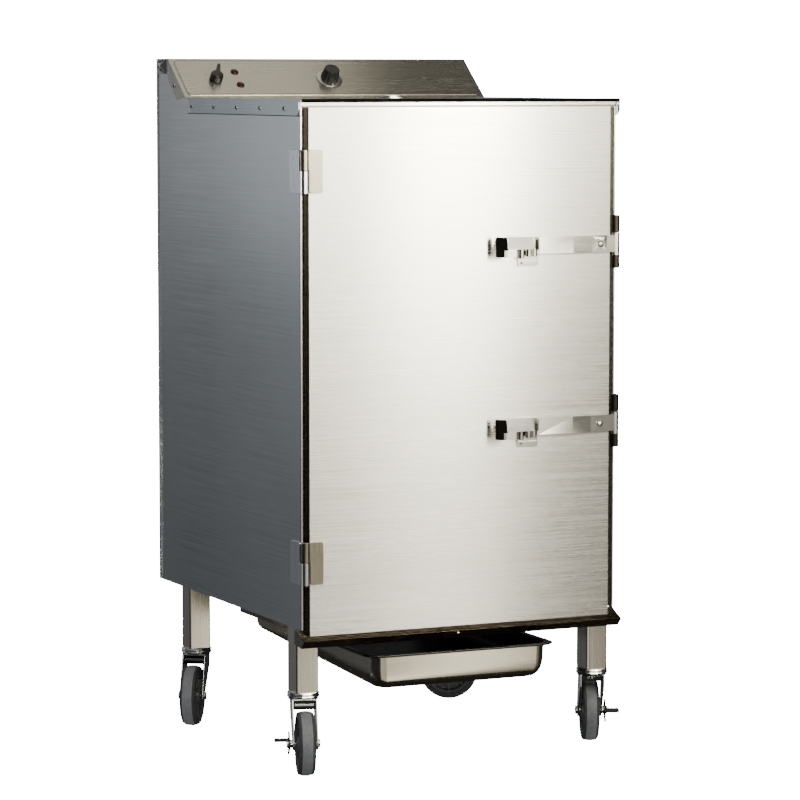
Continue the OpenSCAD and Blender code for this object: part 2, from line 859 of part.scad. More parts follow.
module latch_lever(k) {
    t = 2.5;
    left = -47;
    right = 2;
    color("silver") framed()
        at_latch(k) {
            // sloping plate
            side_plate(left, right)
                polygon([roof_top, [roof_top[0] + 1.2, roof_top[1] - 2.4],
                         [roof_low[0] + t, roof_low[1] - 0.3], roof_low]);
            // arm from the plate to the axis, and the eye pin that hangs from it
            difference() {
                union() {
                    translate([0, 0, -4]) cylinder(r = 5, h = 7.5);
                    span([-18, -16, -4], [0, 5, -1.5]);
                }
                translate([0, 0, -5]) cylinder(r = 2.5 + fit, h = 10);
            }
            translate([strap_dx, strap_dy, -21]) cylinder(r = 2.5, h = 17.5);
            // curled grip at the free end
            grip_r = 13;
            grip_z = -17.5;
            grip_h = 31.5;
            translate([left, roof_low[0] + grip_r, grip_z])
                intersection() {
                    difference() {
                        cylinder(r = grip_r, h = grip_h);
                        translate([0, 0, -1]) cylinder(r = grip_r - t, h = grip_h + 2);
                    }
                    translate([-20, -20, 0]) cube([20, 24, grip_h]);
                }
            // lower lip under the grip
            span([left - 0.5, roof_low[0], grip_z], [left + 16, roof_low[0] + t, -4.5]);
        }
}

module latch_strap(k) {
    t = 3;
    end = bolt_x + 11 - lever_x;
    y = strap_y - lever_y;
    near_y = y + 1.6;
    far_y = strike_y - strike_r - lever_y;
    bend_x = 78;
    color("silver") framed()
        at_latch(k)
            difference() {
                union() {
                    // band, crowned at a shallow bend
                    translate([0, 0, -strap_h / 2])
                        linear_extrude(strap_h)
                            polygon([[18, near_y - t], [bend_x, y - t], [end - 27, far_y - t],
                                     [end, far_y - t], [end, far_y], [end - 27, far_y],
                                     [bend_x, y], [18, near_y]]);
                    // tongue to the eye
                    span([strap_dx, strap_dy - 1.5, -13.2], [18.5, strap_dy + 1.5, -7]);
                    span([15.5, near_y - t, -13.2], [18.5, strap_dy + 1.5, -7]);
                    translate([strap_dx, strap_dy, -20]) cylinder(r = 4.6, h = 13);
                }
                translate([strap_dx, strap_dy, -22]) cylinder(r = 2.5 + fit, h = 20);
                translate([bolt_x - lever_x, far_y + 1, 0]) rotate([90, 0, 0]) cylinder(r = 3.1, h = 9);
            }
}

module latch_hook(k) {
    plate_t = 2.5;
    y0 = strike_y - strike_r;
    color("silver") framed()
        translate([0, 0, latch_zs[k]]) {
            // plate behind the strap, and the half barrel that bears on the strike pin
            difference() {
                union() {
                    span([bolt_x - 14, y0, -strap_h / 2],
                         [strike_x - strike_r + 2, y0 + plate_t, strap_h / 2]);
                    difference() {
                        translate([strike_x, strike_y, -18.5]) cylinder(r = strike_r, h = 35.5);
                        translate([strike_x, strike_y, -20]) cylinder(r = strike_pin_r + 0.4, h = 40);
                        span([strike_x - 10, strike_y + 0.2, -20], [strike_x + 10, strike_y + 10, 40]);
                    }
                }
                translate([bolt_x, y0 + 4, 0]) rotate([90, 0, 0]) cylinder(r = 3.1, h = 8);
            }
            // bolt with a domed head, and its thin nut
            translate([bolt_x, y0 - 3, 0])
                rotate([90, 0, 0]) {
                    translate([0, 0, -7]) cylinder(r = 3, h = 7.5);
                    intersection() {
                        translate([0, 0, -3.5]) sphere(6.5);
                        cylinder(r = 7, h = 4);
                    }
                    translate([0, 0, -7.3]) cylinder(r = 5, h = 1.8, $fn = 6);
                }
        }
}

// ---- Knobs ----

module switch_knob() {
    color("dimgray") framed()
        on_slope(switch_x, knob_s, 0) {
            translate([0, 0, -14]) cylinder(r = shaft_r, h = 18);
            translate([0, 0, 1.6]) cylinder(r = 11, h = 12);
            rotate([0, 0, -22])
                intersection() {
                    span([-3.6, -13, 1.6], [3.6, 27, 17]);
                    translate([0, 5, 1.6]) cylinder(r1 = 24, r2 = 19, h = 15.4);
                }
        }
}

module thermostat_knob() {
    flutes = 12;
    color("dimgray") framed()
        on_slope(0, knob_s, 0) {
            translate([0, 0, -14]) cylinder(r = shaft_r, h = 18);
            translate([0, 0, 1.6]) cylinder(r1 = 23, r2 = 21, h = 2);
            difference() {
                translate([0, 0, 3]) cylinder(r1 = 16, r2 = 12.5, h = 21);
                for (i = [0:flutes - 1])
                    rotate([0, 0, i * 360 / flutes])
                        translate([17, 0, 7]) cylinder(r = 2.6, h = 20);
            }
        }
}

// ---- Inside the cavity ----

module heating_element() {
    r = 4;
    z = cav_z0 + 22;
    front = -120;
    turn = 60;
    color("dimgray") framed() {
        for (x = [-turn, turn])
            translate([x, cav_back + 30, z]) rotate([90, 0, 0]) cylinder(r = r, h = cav_back + 30 - front);
        translate([0, front, z])
            rotate([0, 0, 180])
                rotate_extrude(angle = 180) translate([turn, 0]) circle(r);
        // terminal plate on the cavity's back wall
        difference() {
            span([-78, cav_back - 1.5, z - 12], [78, cav_back, z + 12]);
            for (x = [-turn, turn])
                translate([x, cav_back - 5, z]) rotate([-90, 0, 0]) cylinder(r = r - 0.5, h = 10);
        }
    }
}

module rack_supports() {
    t = 1.5;
    color("silver") framed()
        for (sx = [-1, 1])
            mirror([sx < 0 ? 1 : 0, 0, 0]) {
                for (y = [rack_y0 + 20, rack_y1 - 45])
                    span([cav_w - 4, y, cav_z0], [cav_w, y + 25, cav_z1 - 30]);
                for (i = [0:rack_count - 1])
                    span([cav_w - 24, rack_y0, rack_z0 + i * rack_pitch - t],
                         [cav_w - 4, rack_y1, rack_z0 + i * rack_pitch]);
                // angle that carries the water pan
                span([cav_w - 24, rack_y0, cav_z0 + 95], [cav_w - 4, rack_y1, cav_z0 + 95 + t]);
            }
}

module wire_racks() {
    wires = 15;
    wire_r = 1.8;
    color("silver") framed()
        for (i = [0:rack_count - 1])
            translate([0, 0, rack_z0 + i * rack_pitch]) {
                for (x = [-rack_w, rack_w - rail_sq])
                    span([x, rack_y0, 0], [x + rail_sq, rack_y1, rail_sq]);
                for (y = [rack_y0, rack_y1 - rail_sq])
                    span([-rack_w + rail_sq, y, 0], [rack_w - rail_sq, y + rail_sq, rail_sq]);
                for (k = [1:wires]) {
                    x = -rack_w + rail_sq / 2 + k * (2 * rack_w - rail_sq) / (wires + 1);
                    translate([x, rack_y1 - rail_sq / 2, rail_sq / 2])
                        rotate([90, 0, 0]) cylinder(r = wire_r, h = rack_y1 - rack_y0 - rail_sq);
                }
            }
}

module water_pan() {
    z = cav_z0 + 96.5;
    w = cav_w - 6;
    color("silver") framed()
        difference() {
            union() {
                span([-w, rack_y0 + 130, z], [w, rack_y1 - 60, z + 1.5]);
                span([-w + 20, rack_y0 + 140, z - 48], [w - 20, rack_y1 - 70, z]);
            }
            span([-w + 21.2, rack_y0 + 141.2, z - 46.8], [w - 21.2, rack_y1 - 71.2, z + 5]);
        }
}

left_side_panel();
right_side_panel();
back_panel();
bottom_panel();
top_cover();
inner_liner();
face_frame();
insulation();
control_fascia();
control_faceplate();
pilot_lights();
control_switches();
power_inlet();
cover_screws();
vent_collar();
drain_tube();
drip_gutter();
pan_runners();
legs();
caster_races();
hinge_body_leaves();
strike_brackets();
heating_element();
rack_supports();
wire_racks();
water_pan();
door_skin();
door_inner_panel();
door_insulation();
door_gasket();
hinge_door_leaves();
latch_bases();
switch_knob();
thermostat_knob();
drip_pan();
for (k = [0, 1]) {
    latch_lever(k);
    latch_strap(k);
    latch_hook(k);
    brake_pedal(k);
}
for (k = [0:3]) {
    caster_fork(k);
    caster_axle(k);
    caster_hub(k);
    caster_tyre(k);
}
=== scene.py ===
# The looks of the mobile insulated cabinet: finer meshes, procedural materials, studio and camera.
# Lengths are millimetres from the middle of the cabinet's body unless a name ends in _m.
import json
import math

import bmesh
import bpy
from mathutils import Matrix, Vector


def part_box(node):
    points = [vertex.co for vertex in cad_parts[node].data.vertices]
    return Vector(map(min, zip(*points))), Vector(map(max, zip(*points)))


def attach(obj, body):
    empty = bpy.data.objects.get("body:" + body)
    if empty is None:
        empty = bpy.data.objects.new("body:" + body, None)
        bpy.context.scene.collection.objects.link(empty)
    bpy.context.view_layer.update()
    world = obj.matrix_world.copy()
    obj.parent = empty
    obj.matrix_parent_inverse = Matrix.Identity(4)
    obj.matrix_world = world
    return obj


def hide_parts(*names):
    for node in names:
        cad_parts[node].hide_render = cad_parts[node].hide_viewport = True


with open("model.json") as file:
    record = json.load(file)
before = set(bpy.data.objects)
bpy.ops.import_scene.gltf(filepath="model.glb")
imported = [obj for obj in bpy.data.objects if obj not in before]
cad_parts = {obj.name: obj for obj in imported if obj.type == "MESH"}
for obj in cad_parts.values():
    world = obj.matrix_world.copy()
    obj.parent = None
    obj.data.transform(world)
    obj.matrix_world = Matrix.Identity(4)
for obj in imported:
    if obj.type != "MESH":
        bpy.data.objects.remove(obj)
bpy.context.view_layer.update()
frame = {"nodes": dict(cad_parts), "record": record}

RECORD = frame["record"]
SLOT_OF = {part["node"]: part["material_slot"] for part in RECORD["subparts"]}
BODY_OF = {node: body for body, nodes in RECORD["behaviour"]["bodies"].items() for node in nodes}
BRAKED_CASTERS = ["front_left", "front_right"]
CASTERS = BRAKED_CASTERS + ["rear_left", "rear_right"]
LATCHES = ["lower", "upper"]

panel_low, panel_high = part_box("left_side_panel")
mid_y_m = (panel_low.y + panel_high.y) / 2
TO_FRAME = Matrix.Translation((0, mid_y_m, 0)) @ Matrix.Scale(0.001, 4)
FROM_FRAME = TO_FRAME.inverted()


def body_mm(point_m):
    """A point of the frame, in millimetres from the middle of the cabinet's body."""
    return FROM_FRAME @ Vector(point_m)


def node_box(node):
    """The two corners of a CAD node's box, in body millimetres."""
    low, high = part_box(node)
    return body_mm(low), body_mm(high)


JOINT = {joint["name"]: joint for joint in RECORD["behaviour"]["joints"]}


def joint_at(name):
    """A joint's place at rest, in body millimetres."""
    return body_mm(JOINT[name]["pos_m"])


side_low, side_high = node_box("left_side_panel")
half_d = side_high.y
half_w = -side_low.x
housing_z = node_box("control_fascia")[1].z
top_z = node_box("top_cover")[1].z
SLOPE_FROM_BACK = 127.5     # where the housing's slope starts
HINGE_H = 67.0
BOLT_X = 240.0              # the bolt through the latch's strap and hook
LEG_W = 38.0
CASTER_LEAD = 35.0          # from the swivel axis to the wheel's axis


# ---- Materials ----

def material(name):
    mat = bpy.data.materials.new(name)
    mat.use_nodes = True
    tree = mat.node_tree
    return mat, tree, tree.nodes["Principled BSDF"]


def object_noise(tree, scale, stretch=(1, 1, 1), detail=3.0, roughness=0.55):
    coords = tree.nodes.new("ShaderNodeTexCoord")
    mapping = tree.nodes.new("ShaderNodeMapping")
    mapping.inputs["Scale"].default_value = stretch
    noise = tree.nodes.new("ShaderNodeTexNoise")
    noise.inputs["Scale"].default_value = scale
    noise.inputs["Detail"].default_value = detail
    noise.inputs["Roughness"].default_value = roughness
    tree.links.new(coords.outputs["Object"], mapping.inputs["Vector"])
    tree.links.new(mapping.outputs["Vector"], noise.inputs["Vector"])
    return noise.outputs["Fac"]


def ramp(tree, value, stops):
    node = tree.nodes.new("ShaderNodeValToRGB")
    while len(node.color_ramp.elements) < len(stops):
        node.color_ramp.elements.new(0.5)
    for element, (place, colour) in zip(node.color_ramp.elements, stops):
        element.position = place
        element.color = (*colour, 1)
    tree.links.new(value, node.inputs["Fac"])
    return node.outputs["Color"]


def remap(tree, value, low, high, new_low, new_high):
    node = tree.nodes.new("ShaderNodeMapRange")
    for key, number in zip(("From Min", "From Max", "To Min", "To Max"), (low, high, new_low, new_high)):
        node.inputs[key].default_value = number
    tree.links.new(value, node.inputs["Value"])
    return node.outputs["Result"]


def blend_values(tree, a, b, factor):
    node = tree.nodes.new("ShaderNodeMix")
    node.data_type = "FLOAT"
    node.inputs["Factor"].default_value = factor
    tree.links.new(a, node.inputs[2])
    tree.links.new(b, node.inputs[3])
    return node.outputs[0]


def bump(tree, shader, height, strength, distance_m=0.001):
    node = tree.nodes.new("ShaderNodeBump")
    node.inputs["Strength"].default_value = strength
    node.inputs["Distance"].default_value = distance_m
    tree.links.new(height, node.inputs["Height"])
    tree.links.new(node.outputs["Normal"], shader.inputs["Normal"])


def steel(name, colour, rough, grain=(1, 1, 1), brush=0.12, stain=0.06, relief=0.12, waves=0.0, streak=0.0):
    """Sheet steel, with brushing as fine along X, Y and Z as grain says.

    brush varies its roughness, stain its colour and relief its surface. waves makes the sheet uneven, and
    streak draws reflections out upwards, as brushing from side to side does.
    """
    mat, tree, shader = material(name)
    shader.inputs["Metallic"].default_value = 1.0
    if streak:
        shader.inputs["Anisotropic"].default_value = streak
        upward = tree.nodes.new("ShaderNodeCombineXYZ")
        upward.inputs["Z"].default_value = 1.0
        tree.links.new(upward.outputs["Vector"], shader.inputs["Tangent"])
    streaks = object_noise(tree, 6.0, grain, detail=6.0, roughness=0.7)
    clouds = object_noise(tree, 3.2, (1, 1, 1), detail=4.0)
    tone = blend_values(tree, streaks, clouds, 0.45)
    dark = [c * (1 - stain * 2.2) for c in colour]
    light = [min(1.0, c * (1 + stain * 1.6)) for c in colour]
    tree.links.new(ramp(tree, tone, [(0.3, dark), (0.5, colour), (0.7, light)]),
                   shader.inputs["Base Color"])
    tree.links.new(remap(tree, streaks, 0.3, 0.7, rough - brush / 2, rough + brush / 2),
                   shader.inputs["Roughness"])
    height = streaks
    if waves:
        height = blend_values(tree, streaks, object_noise(tree, 2.0, (1.2, 1.2, 0.7), detail=1.0), waves)
    bump(tree, shader, height, relief, 0.0006)
    return mat


def rubber(name, colour, rough, grain=(1, 1, 1)):
    mat, tree, shader = material(name)
    speckle = object_noise(tree, 160.0, grain, detail=5.0, roughness=0.65)
    dust = object_noise(tree, 14.0, (1, 1, 1), detail=3.0)
    tone = blend_values(tree, speckle, dust, 0.5)
    tree.links.new(ramp(tree, tone, [(0.32, [c * 0.7 for c in colour]), (0.5, colour),
                                     (0.68, [c * 1.25 for c in colour])]), shader.inputs["Base Color"])
    tree.links.new(remap(tree, dust, 0.3, 0.7, rough - 0.1, rough + 0.1), shader.inputs["Roughness"])
    bump(tree, shader, speckle, 0.25, 0.0004)
    return mat


def plastic(name, colour, rough, coat=0.0, shine=0.5):
    mat, tree, shader = material(name)
    shader.inputs["Specular IOR Level"].default_value = shine
    shader.inputs["Coat Weight"].default_value = coat
    shader.inputs["Coat Roughness"].default_value = 0.12
    grain = object_noise(tree, 420.0, (1, 1, 1), detail=2.0)
    wear = object_noise(tree, 22.0, (1, 1, 1), detail=5.0)
    tree.links.new(ramp(tree, wear, [(0.3, [c * 0.75 for c in colour]), (0.55, colour),
                                     (0.75, [min(1, c * 1.5 + 0.01) for c in colour])]),
                   shader.inputs["Base Color"])
    tree.links.new(remap(tree, wear, 0.3, 0.7, rough - 0.06, rough + 0.08), shader.inputs["Roughness"])
    bump(tree, shader, grain, 0.08, 0.0003)
    return mat


def lens(name, colour):
    mat, tree, shader = material(name)
    shader.inputs["Roughness"].default_value = 0.3
    shader.inputs["Coat Weight"].default_value = 0.15
    cells = object_noise(tree, 300.0, (1, 1, 1), detail=2.0)
    tree.links.new(ramp(tree, cells, [(0.35, [c * 0.35 for c in colour]), (0.65, colour)]),
                   shader.inputs["Base Color"])
    bump(tree, shader, cells, 0.2, 0.0005)
    return mat


def wool(name, colour):
    mat, tree, shader = material(name)
    shader.inputs["Roughness"].default_value = 0.95
    fibres = object_noise(tree, 90.0, (1, 1, 5), detail=8.0, roughness=0.75)
    tree.links.new(ramp(tree, fibres, [(0.3, [c * 0.6 for c in colour]), (0.7, colour)]),
                   shader.inputs["Base Color"])
    bump(tree, shader, fibres, 0.8, 0.002)
    return mat


def heated(name):
    """Sheath steel with blue and straw heat tints."""
    mat, tree, shader = material(name)
    shader.inputs["Metallic"].default_value = 0.9
    tint = object_noise(tree, 12.0, (1, 1, 1), detail=4.0)
    tree.links.new(ramp(tree, tint, [(0.3, (0.06, 0.06, 0.08)), (0.5, (0.2, 0.16, 0.13)),
                                     (0.68, (0.34, 0.24, 0.15))]), shader.inputs["Base Color"])
    tree.links.new(remap(tree, tint, 0.3, 0.7, 0.35, 0.6), shader.inputs["Roughness"])
    bump(tree, shader, object_noise(tree, 260.0), 0.2, 0.0004)
    return mat


ACROSS = (0.6, 60, 60)      # brushed along X
ALONG = (60, 0.6, 60)       # brushed along Y
UPRIGHT = (60, 60, 0.6)     # brushed along Z
MATERIALS = {
    "shell_steel": steel("shell steel", (0.56, 0.58, 0.595), 0.22, ALONG, brush=0.06, waves=0.6),
    "liner_steel": steel("liner steel", (0.66, 0.67, 0.67), 0.30, ACROSS),
    "fascia_steel": steel("fascia steel", (0.60, 0.575, 0.51), 0.25, ACROSS, brush=0.08, stain=0.03,
                          relief=0.05, streak=0.85),
    "door_steel": steel("door steel", (0.74, 0.725, 0.69), 0.27, ACROSS, brush=0.08, stain=0.035,
                        waves=0.5, streak=0.9),
    "leg_steel": steel("leg steel", (0.66, 0.62, 0.55), 0.22, UPRIGHT, waves=0.5),
    # painted shade: gutter steel is far darker than the other steels, for the shade under the door
    "gutter_steel": steel("gutter steel", (0.23, 0.208, 0.168), 0.26, ACROSS),
    "pan_steel": steel("pan steel", (0.56, 0.525, 0.44), 0.17, ACROSS, stain=0.1, waves=0.6),
    "hardware_steel": steel("hardware steel", (0.70, 0.69, 0.66), 0.15, ACROSS, brush=0.08, stain=0.04),
    "caster_steel": steel("caster steel", (0.66, 0.68, 0.70), 0.16, (8, 8, 8), brush=0.1),
    "brake_steel": steel("brake steel", (0.05, 0.05, 0.053), 0.36, (12, 12, 12), stain=0.12),
    "hub_plastic": plastic("hub plastic", (0.055, 0.058, 0.062), 0.5),
    "tyre_rubber": rubber("tyre rubber", (0.115, 0.118, 0.122), 0.62),
    "knob_plastic": plastic("knob plastic", (0.009, 0.009, 0.010), 0.38, coat=0.1),
    "lens_plastic": lens("red lens", (0.022, 0.001, 0.001)),
    "control_plastic": plastic("control plastic", (0.03, 0.03, 0.032), 0.45),
    "gasket_rubber": rubber("gasket rubber", (0.03, 0.03, 0.032), 0.6),
    "element_steel": heated("heat tinted sheath"),
    "mineral_wool": wool("mineral wool", (0.62, 0.55, 0.32)),
}
WHITE_INK = plastic("white ink", (0.75, 0.75, 0.72), 0.5)
# black print, and the painted shadow along the faceplate's edge
BLACK_INK_AND_SHADE = plastic("black ink and painted shade", (0.035, 0.032, 0.03), 0.5)
DEEP_SHADE = plastic("dark recess", (0.008, 0.008, 0.009), 0.7)
# painted shade: near-black steel for the door's edges, the strike brackets and the drip pan's inside
SHADE_STEEL = steel("steel painted shade", (0.032, 0.029, 0.023), 0.3, ACROSS)
# painted shade: flat black for the cover's front hem and the levers' curled grips, steel that mirrors a dark
# room
SHADE_BLACK = plastic("black painted shade", (0.008, 0.007, 0.006), 0.8, shine=0.0)
# painted shade: the door's hinge leaves and their dimples are darker than the door
SHADED_LEAF = steel("door leaf painted shade", (0.30, 0.28, 0.225), 0.3, UPRIGHT, stain=0.12)
SIDE_LEAF = steel("side leaf", (0.69, 0.71, 0.73), 0.22, UPRIGHT)
DARK_FORK = steel("dark fork", (0.03, 0.031, 0.032), 0.3, (8, 8, 8))
# painted shade: the tyres' sidewalls, darker than their tread
SHADED_SIDEWALL = rubber("tyre sidewall painted shade", (0.022, 0.022, 0.024), 0.75)
# painted shade: a darker copy of the shell steel, for the top cover's side flanges
SHADED_COVER = steel("cover steel painted shade", (0.44, 0.465, 0.485), 0.2, ALONG, stain=0.1, waves=0.7)


# ---- Mesh helpers ----

def add(bm, coords, faces, at=Matrix.Identity(4)):
    """Adds a shape to a mesh under construction and returns its faces."""
    verts = [bm.verts.new(at @ Vector(c)) for c in coords]
    return [bm.faces.new([verts[i] for i in face]) for face in faces]


def edges_of(faces):
    return list({edge for face in faces for edge in face.edges})


def soften(bm, faces, width, segments=2, limit=35):
    """Rounds the edges between these faces that turn by more than limit degrees.

    The rounding has one width for all of them, and short edges clamp it to less.
    """
    sharp = [e for e in edges_of(faces) if len(e.link_faces) == 2
             and e.calc_face_angle(0) > math.radians(limit)]
    if width > 0 and sharp:
        bmesh.ops.bevel(bm, geom=sharp, offset=width, offset_type="OFFSET", segments=segments,
                        profile=0.5, affect="EDGES", clamp_overlap=True)


def prism(bm, outline, low, high, at=Matrix.Identity(4), round_by=0.0, segments=2):
    """An outline in XY, from low to high along Z."""
    n = len(outline)
    coords = [(x, y, low) for x, y in outline] + [(x, y, high) for x, y in outline]
    sides = [(i, (i + 1) % n, n + (i + 1) % n, n + i) for i in range(n)]
    faces = add(bm, coords, [tuple(reversed(range(n))), tuple(range(n, 2 * n)), *sides], at)
    bmesh.ops.recalc_face_normals(bm, faces=faces)
    soften(bm, faces, round_by, segments)


def block(bm, low, high, round_by=0.4, segments=2, at=Matrix.Identity(4)):
    outline = [(low[0], low[1]), (high[0], low[1]), (high[0], high[1]), (low[0], high[1])]
    prism(bm, outline, low[2], high[2], at, round_by, segments)


def lathe(bm, profile, at=Matrix.Identity(4), steps=48):
    """Turns a profile of (radius, height) about Z. A radius of 0 closes it with a point."""
    rings = []
    for r, z in profile:
        turns = [0] if r == 0 else range(steps)
        rings.append([bm.verts.new(at @ Vector((r * math.cos(2 * math.pi * i / steps),
                                               r * math.sin(2 * math.pi * i / steps), z))) for i in turns])
    faces = []
    for a, b in zip(rings, rings[1:]):
        for i in range(steps):
            j = (i + 1) % steps
            loop = [a[i % len(a)], a[j % len(a)], b[j % len(b)], b[i % len(b)]]
            loop = [v for k, v in enumerate(loop) if v not in loop[:k]]
            if len(loop) > 2:
                faces.append(bm.faces.new(loop))
    bmesh.ops.recalc_face_normals(bm, faces=faces)
    return faces


def loft(bm, rings, close_last=True):
    """Joins rings of equally many points with faces, and closes the last one."""
    made = [[bm.verts.new(p) for p in ring] for ring in rings]
    n = len(made[0])
    faces = [bm.faces.new([a[i], a[(i + 1) % n], b[(i + 1) % n], b[i]])
             for a, b in zip(made, made[1:]) for i in range(n)]
    if close_last:
        faces.append(bm.faces.new(made[-1]))
    bmesh.ops.recalc_face_normals(bm, faces=faces)
    return faces


def rounded_outline(low, high, r, steps=8):
    """The points of a rectangle with rounded corners, counter-clockwise."""
    corners = [(high[0] - r, high[1] - r, 0), (low[0] + r, high[1] - r, 90),
               (low[0] + r, low[1] + r, 180), (high[0] - r, low[1] + r, 270)]
    outline = []
    for x, y, start in corners:
        for i in range(steps + 1):
            a = math.radians(start + 90 * i / steps)
            outline.append((x + r * math.cos(a), y + r * math.sin(a)))
    return outline


def hexagon(r):
    """The corners of a nut's outline, counter-clockwise."""
    return [(r * math.cos(math.radians(60 * i)), r * math.sin(math.radians(60 * i))) for i in range(6)]


def turned(origin, axis):
    """A matrix that puts Z along axis at origin."""
    return Matrix.Translation(origin) @ Vector(axis).to_track_quat("Z", "Y").to_matrix().to_4x4()


def about_z(degrees):
    return Matrix.Rotation(math.radians(degrees), 4, "Z")


def about_x(degrees):
    return Matrix.Rotation(math.radians(degrees), 4, "X")


def piece(name, bm, body, slot, mat=None, stands_for=(), smooth=32):
    """Makes an object from a mesh in body millimetres, and gives it its body and its material: mat, or else
    the slot's.

    Edges that turn by more than smooth degrees stay sharp.
    """
    bm.transform(TO_FRAME)
    bm.normal_update()
    mesh = bpy.data.meshes.new(name)
    bm.to_mesh(mesh)
    bm.free()
    mesh.materials.append(mat or MATERIALS[slot])
    mesh.shade_smooth()
    mesh.set_sharp_from_angle(angle=math.radians(smooth))
    made = bpy.data.objects.new(name, mesh)
    bpy.context.scene.collection.objects.link(made)
    flatten = made.modifiers.new("flat faces stay flat", "WEIGHTED_NORMAL")
    flatten.keep_sharp = True
    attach(made, body)
    if stands_for:
        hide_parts(*stands_for)
    return made


BROAD_M2 = 0.02    # faces larger than this, in square metres, are flat sheet and are shaded flat


def refined(node, round_by=0.35, segments=2, mat=None, front_corner=0.0):
    """The node's own shape with its edges rounded, as folded or moulded edges are.

    front_corner rounds the upright folds at the body's two front corners.
    """
    def at_front_corner(vert):
        return abs(abs(vert.co.x) - half_w) < 0.1 and abs(vert.co.y + half_d) < 0.1

    bm = bmesh.new()
    bm.from_mesh(frame["nodes"][node].data)
    bm.transform(FROM_FRAME)
    bmesh.ops.remove_doubles(bm, verts=bm.verts, dist=0.004)
    bmesh.ops.dissolve_limit(bm, angle_limit=math.radians(0.4), verts=bm.verts, edges=bm.edges)
    if front_corner:
        upright = [e for e in bm.edges if all(at_front_corner(v) for v in e.verts)]
        bmesh.ops.bevel(bm, geom=upright, offset=front_corner, segments=5, profile=0.5, affect="EDGES",
                        clamp_overlap=True)
    soften(bm, bm.faces, round_by, segments, 38)
    made = piece(node + "_shell", bm, BODY_OF[node], SLOT_OF[node], mat, [node])
    for face in made.data.polygons:
        if face.area > BROAD_M2:
            face.use_smooth = False
    return made


def dressed(node, mat=None):
    """Keeps a CAD node's mesh and gives it its material."""
    node_object = frame["nodes"][node]
    node_object.data.materials.clear()
    node_object.data.materials.append(mat or MATERIALS[SLOT_OF[node]])


# ---- Shell ----

def shade_door_edges(door):
    """Paints shade on the door's upright edges: near-black steel, for the shade in the gaps beside the door.
    """
    door.data.materials.append(SHADE_STEEL)
    for face in door.data.polygons:
        if abs(face.normal.x) > 0.9:
            face.material_index = 1


for node in ("left_side_panel", "right_side_panel"):
    refined(node, 0.4, front_corner=1.5)
refined("top_cover", 0.4, mat=SHADED_COVER)
for node in ("back_panel", "bottom_panel", "face_frame", "control_fascia", "door_inner_panel",
             "drip_gutter", "pan_runners"):
    refined(node, 0.4)
shade_door_edges(refined("door_skin", 0.8, 3))
for node in ("insulation", "door_insulation", "inner_liner", "door_gasket", "heating_element", "drain_tube",
             "vent_collar", "control_switches", "wire_racks", "control_faceplate"):
    dressed(node)
for node in ("rack_supports", "water_pan"):
    refined(node, 0.3)


def front_edge():
    """The cover's rolled front hem in black as painted shade, the bright strip under it, and lines of painted
    shadow under the cover's sides.
    """
    low, high = node_box("top_cover")
    hem = bmesh.new()
    block(hem, (low.x, low.y - 0.5, top_z - 4.6), (high.x, low.y + 1.2, top_z + 0.7), 0.5, 3)
    # painted shade: the hem is flat black
    piece("cover_hem", hem, "cabinet", "shell_steel", SHADE_BLACK)
    strip = bmesh.new()
    door_top = node_box("door_skin")[1].z
    strip_w = half_w - 1.3
    block(strip, (-strip_w, -half_d - 0.3, door_top + 2.1), (strip_w, -half_d + 0.6, top_z - 1.4), 0.3)
    piece("header_strip", strip, "cabinet", "door_steel")
    # painted shadow: thin near-black strips along the foot of the cover's side flanges
    shadow_line = bmesh.new()
    for side in (-1, 1):
        x = sorted((side * (half_w + 0.5), side * (half_w - 0.1)))
        block(shadow_line, (x[0], low.y + 6, low.z - 1.3), (x[1], high.y - 6, low.z + 0.2), 0.1)
    piece("cover_flange_shadow", shadow_line, "cabinet", "shell_steel", DEEP_SHADE)


front_edge()


def screw_frames(out):
    """Frames with Z outwards at the screws on both sides, at out from the middle of the body."""
    drop = 14.5     # from the edge of the sheet above
    slope_y = half_d - SLOPE_FROM_BACK
    places = [(-half_d + 60 + 97.5 * i, top_z - drop) for i in range(5)]
    places += [(slope_y + 52, top_z + 19), (half_d - 4.5, housing_z - drop)]
    return [turned((side * out, y, z), (side, 0, 0)) for side in (-1, 1) for y, z in places]


def cover_screws():
    """Pan head screws in dimpled rims along the flanges on both sides."""
    bm = bmesh.new()
    head_x = node_box("cover_screws")[1].x
    rim = [(4.2, 0.0), (4.0, 0.5), (3.6, 0.62), (3.3, 0.25), (0, 0.2)]
    head = [(3.1, 0.2), (3.0, 0.75), (2.5, 1.15), (1.6, 1.4), (1.5, 1.0), (0, 0.9)]
    for at in screw_frames(half_w + (head_x - half_w) * 0.38):
        lathe(bm, rim, at, 24)
        lathe(bm, head, at, 24)
        for turn in (0, 90):
            block(bm, (-1.4, -0.3, 0.95), (1.4, 0.3, 1.2), 0, at=at @ about_z(turn))
    piece("cover_screw_heads", bm, "cabinet", "hardware_steel", stands_for=["cover_screws"])


def screw_recesses():
    """Dark recesses in the heads of the screws."""
    bm = bmesh.new()
    for at in screw_frames(half_w + 1.2):
        lathe(bm, [(2.6, 1.0), (2.5, 1.42), (2.2, 1.5), (0, 1.52)], at, 20)
    piece("screw_recesses", bm, "cabinet", "hardware_steel", DEEP_SHADE)


cover_screws()
screw_recesses()


# ---- Control panel ----

slope = Vector(JOINT["thermostat_turn"]["axis"]).normalized()
slope_angle = math.atan2(-slope.y, slope.z)
dial = joint_at("thermostat_turn")
switch = joint_at("switch_turn")
DIAL_START, DIAL_SWEEP = -225, 270      # degrees of the thermostat's scale


def on_panel(centre, right=0.0, up=0.0, out=0.0):
    """A frame on the sloping panel, moved right and up in its plane and out along its normal."""
    tilt = Matrix.Rotation(slope_angle, 4, "X")
    return Matrix.Translation(centre) @ tilt @ Matrix.Translation((right, up, out))


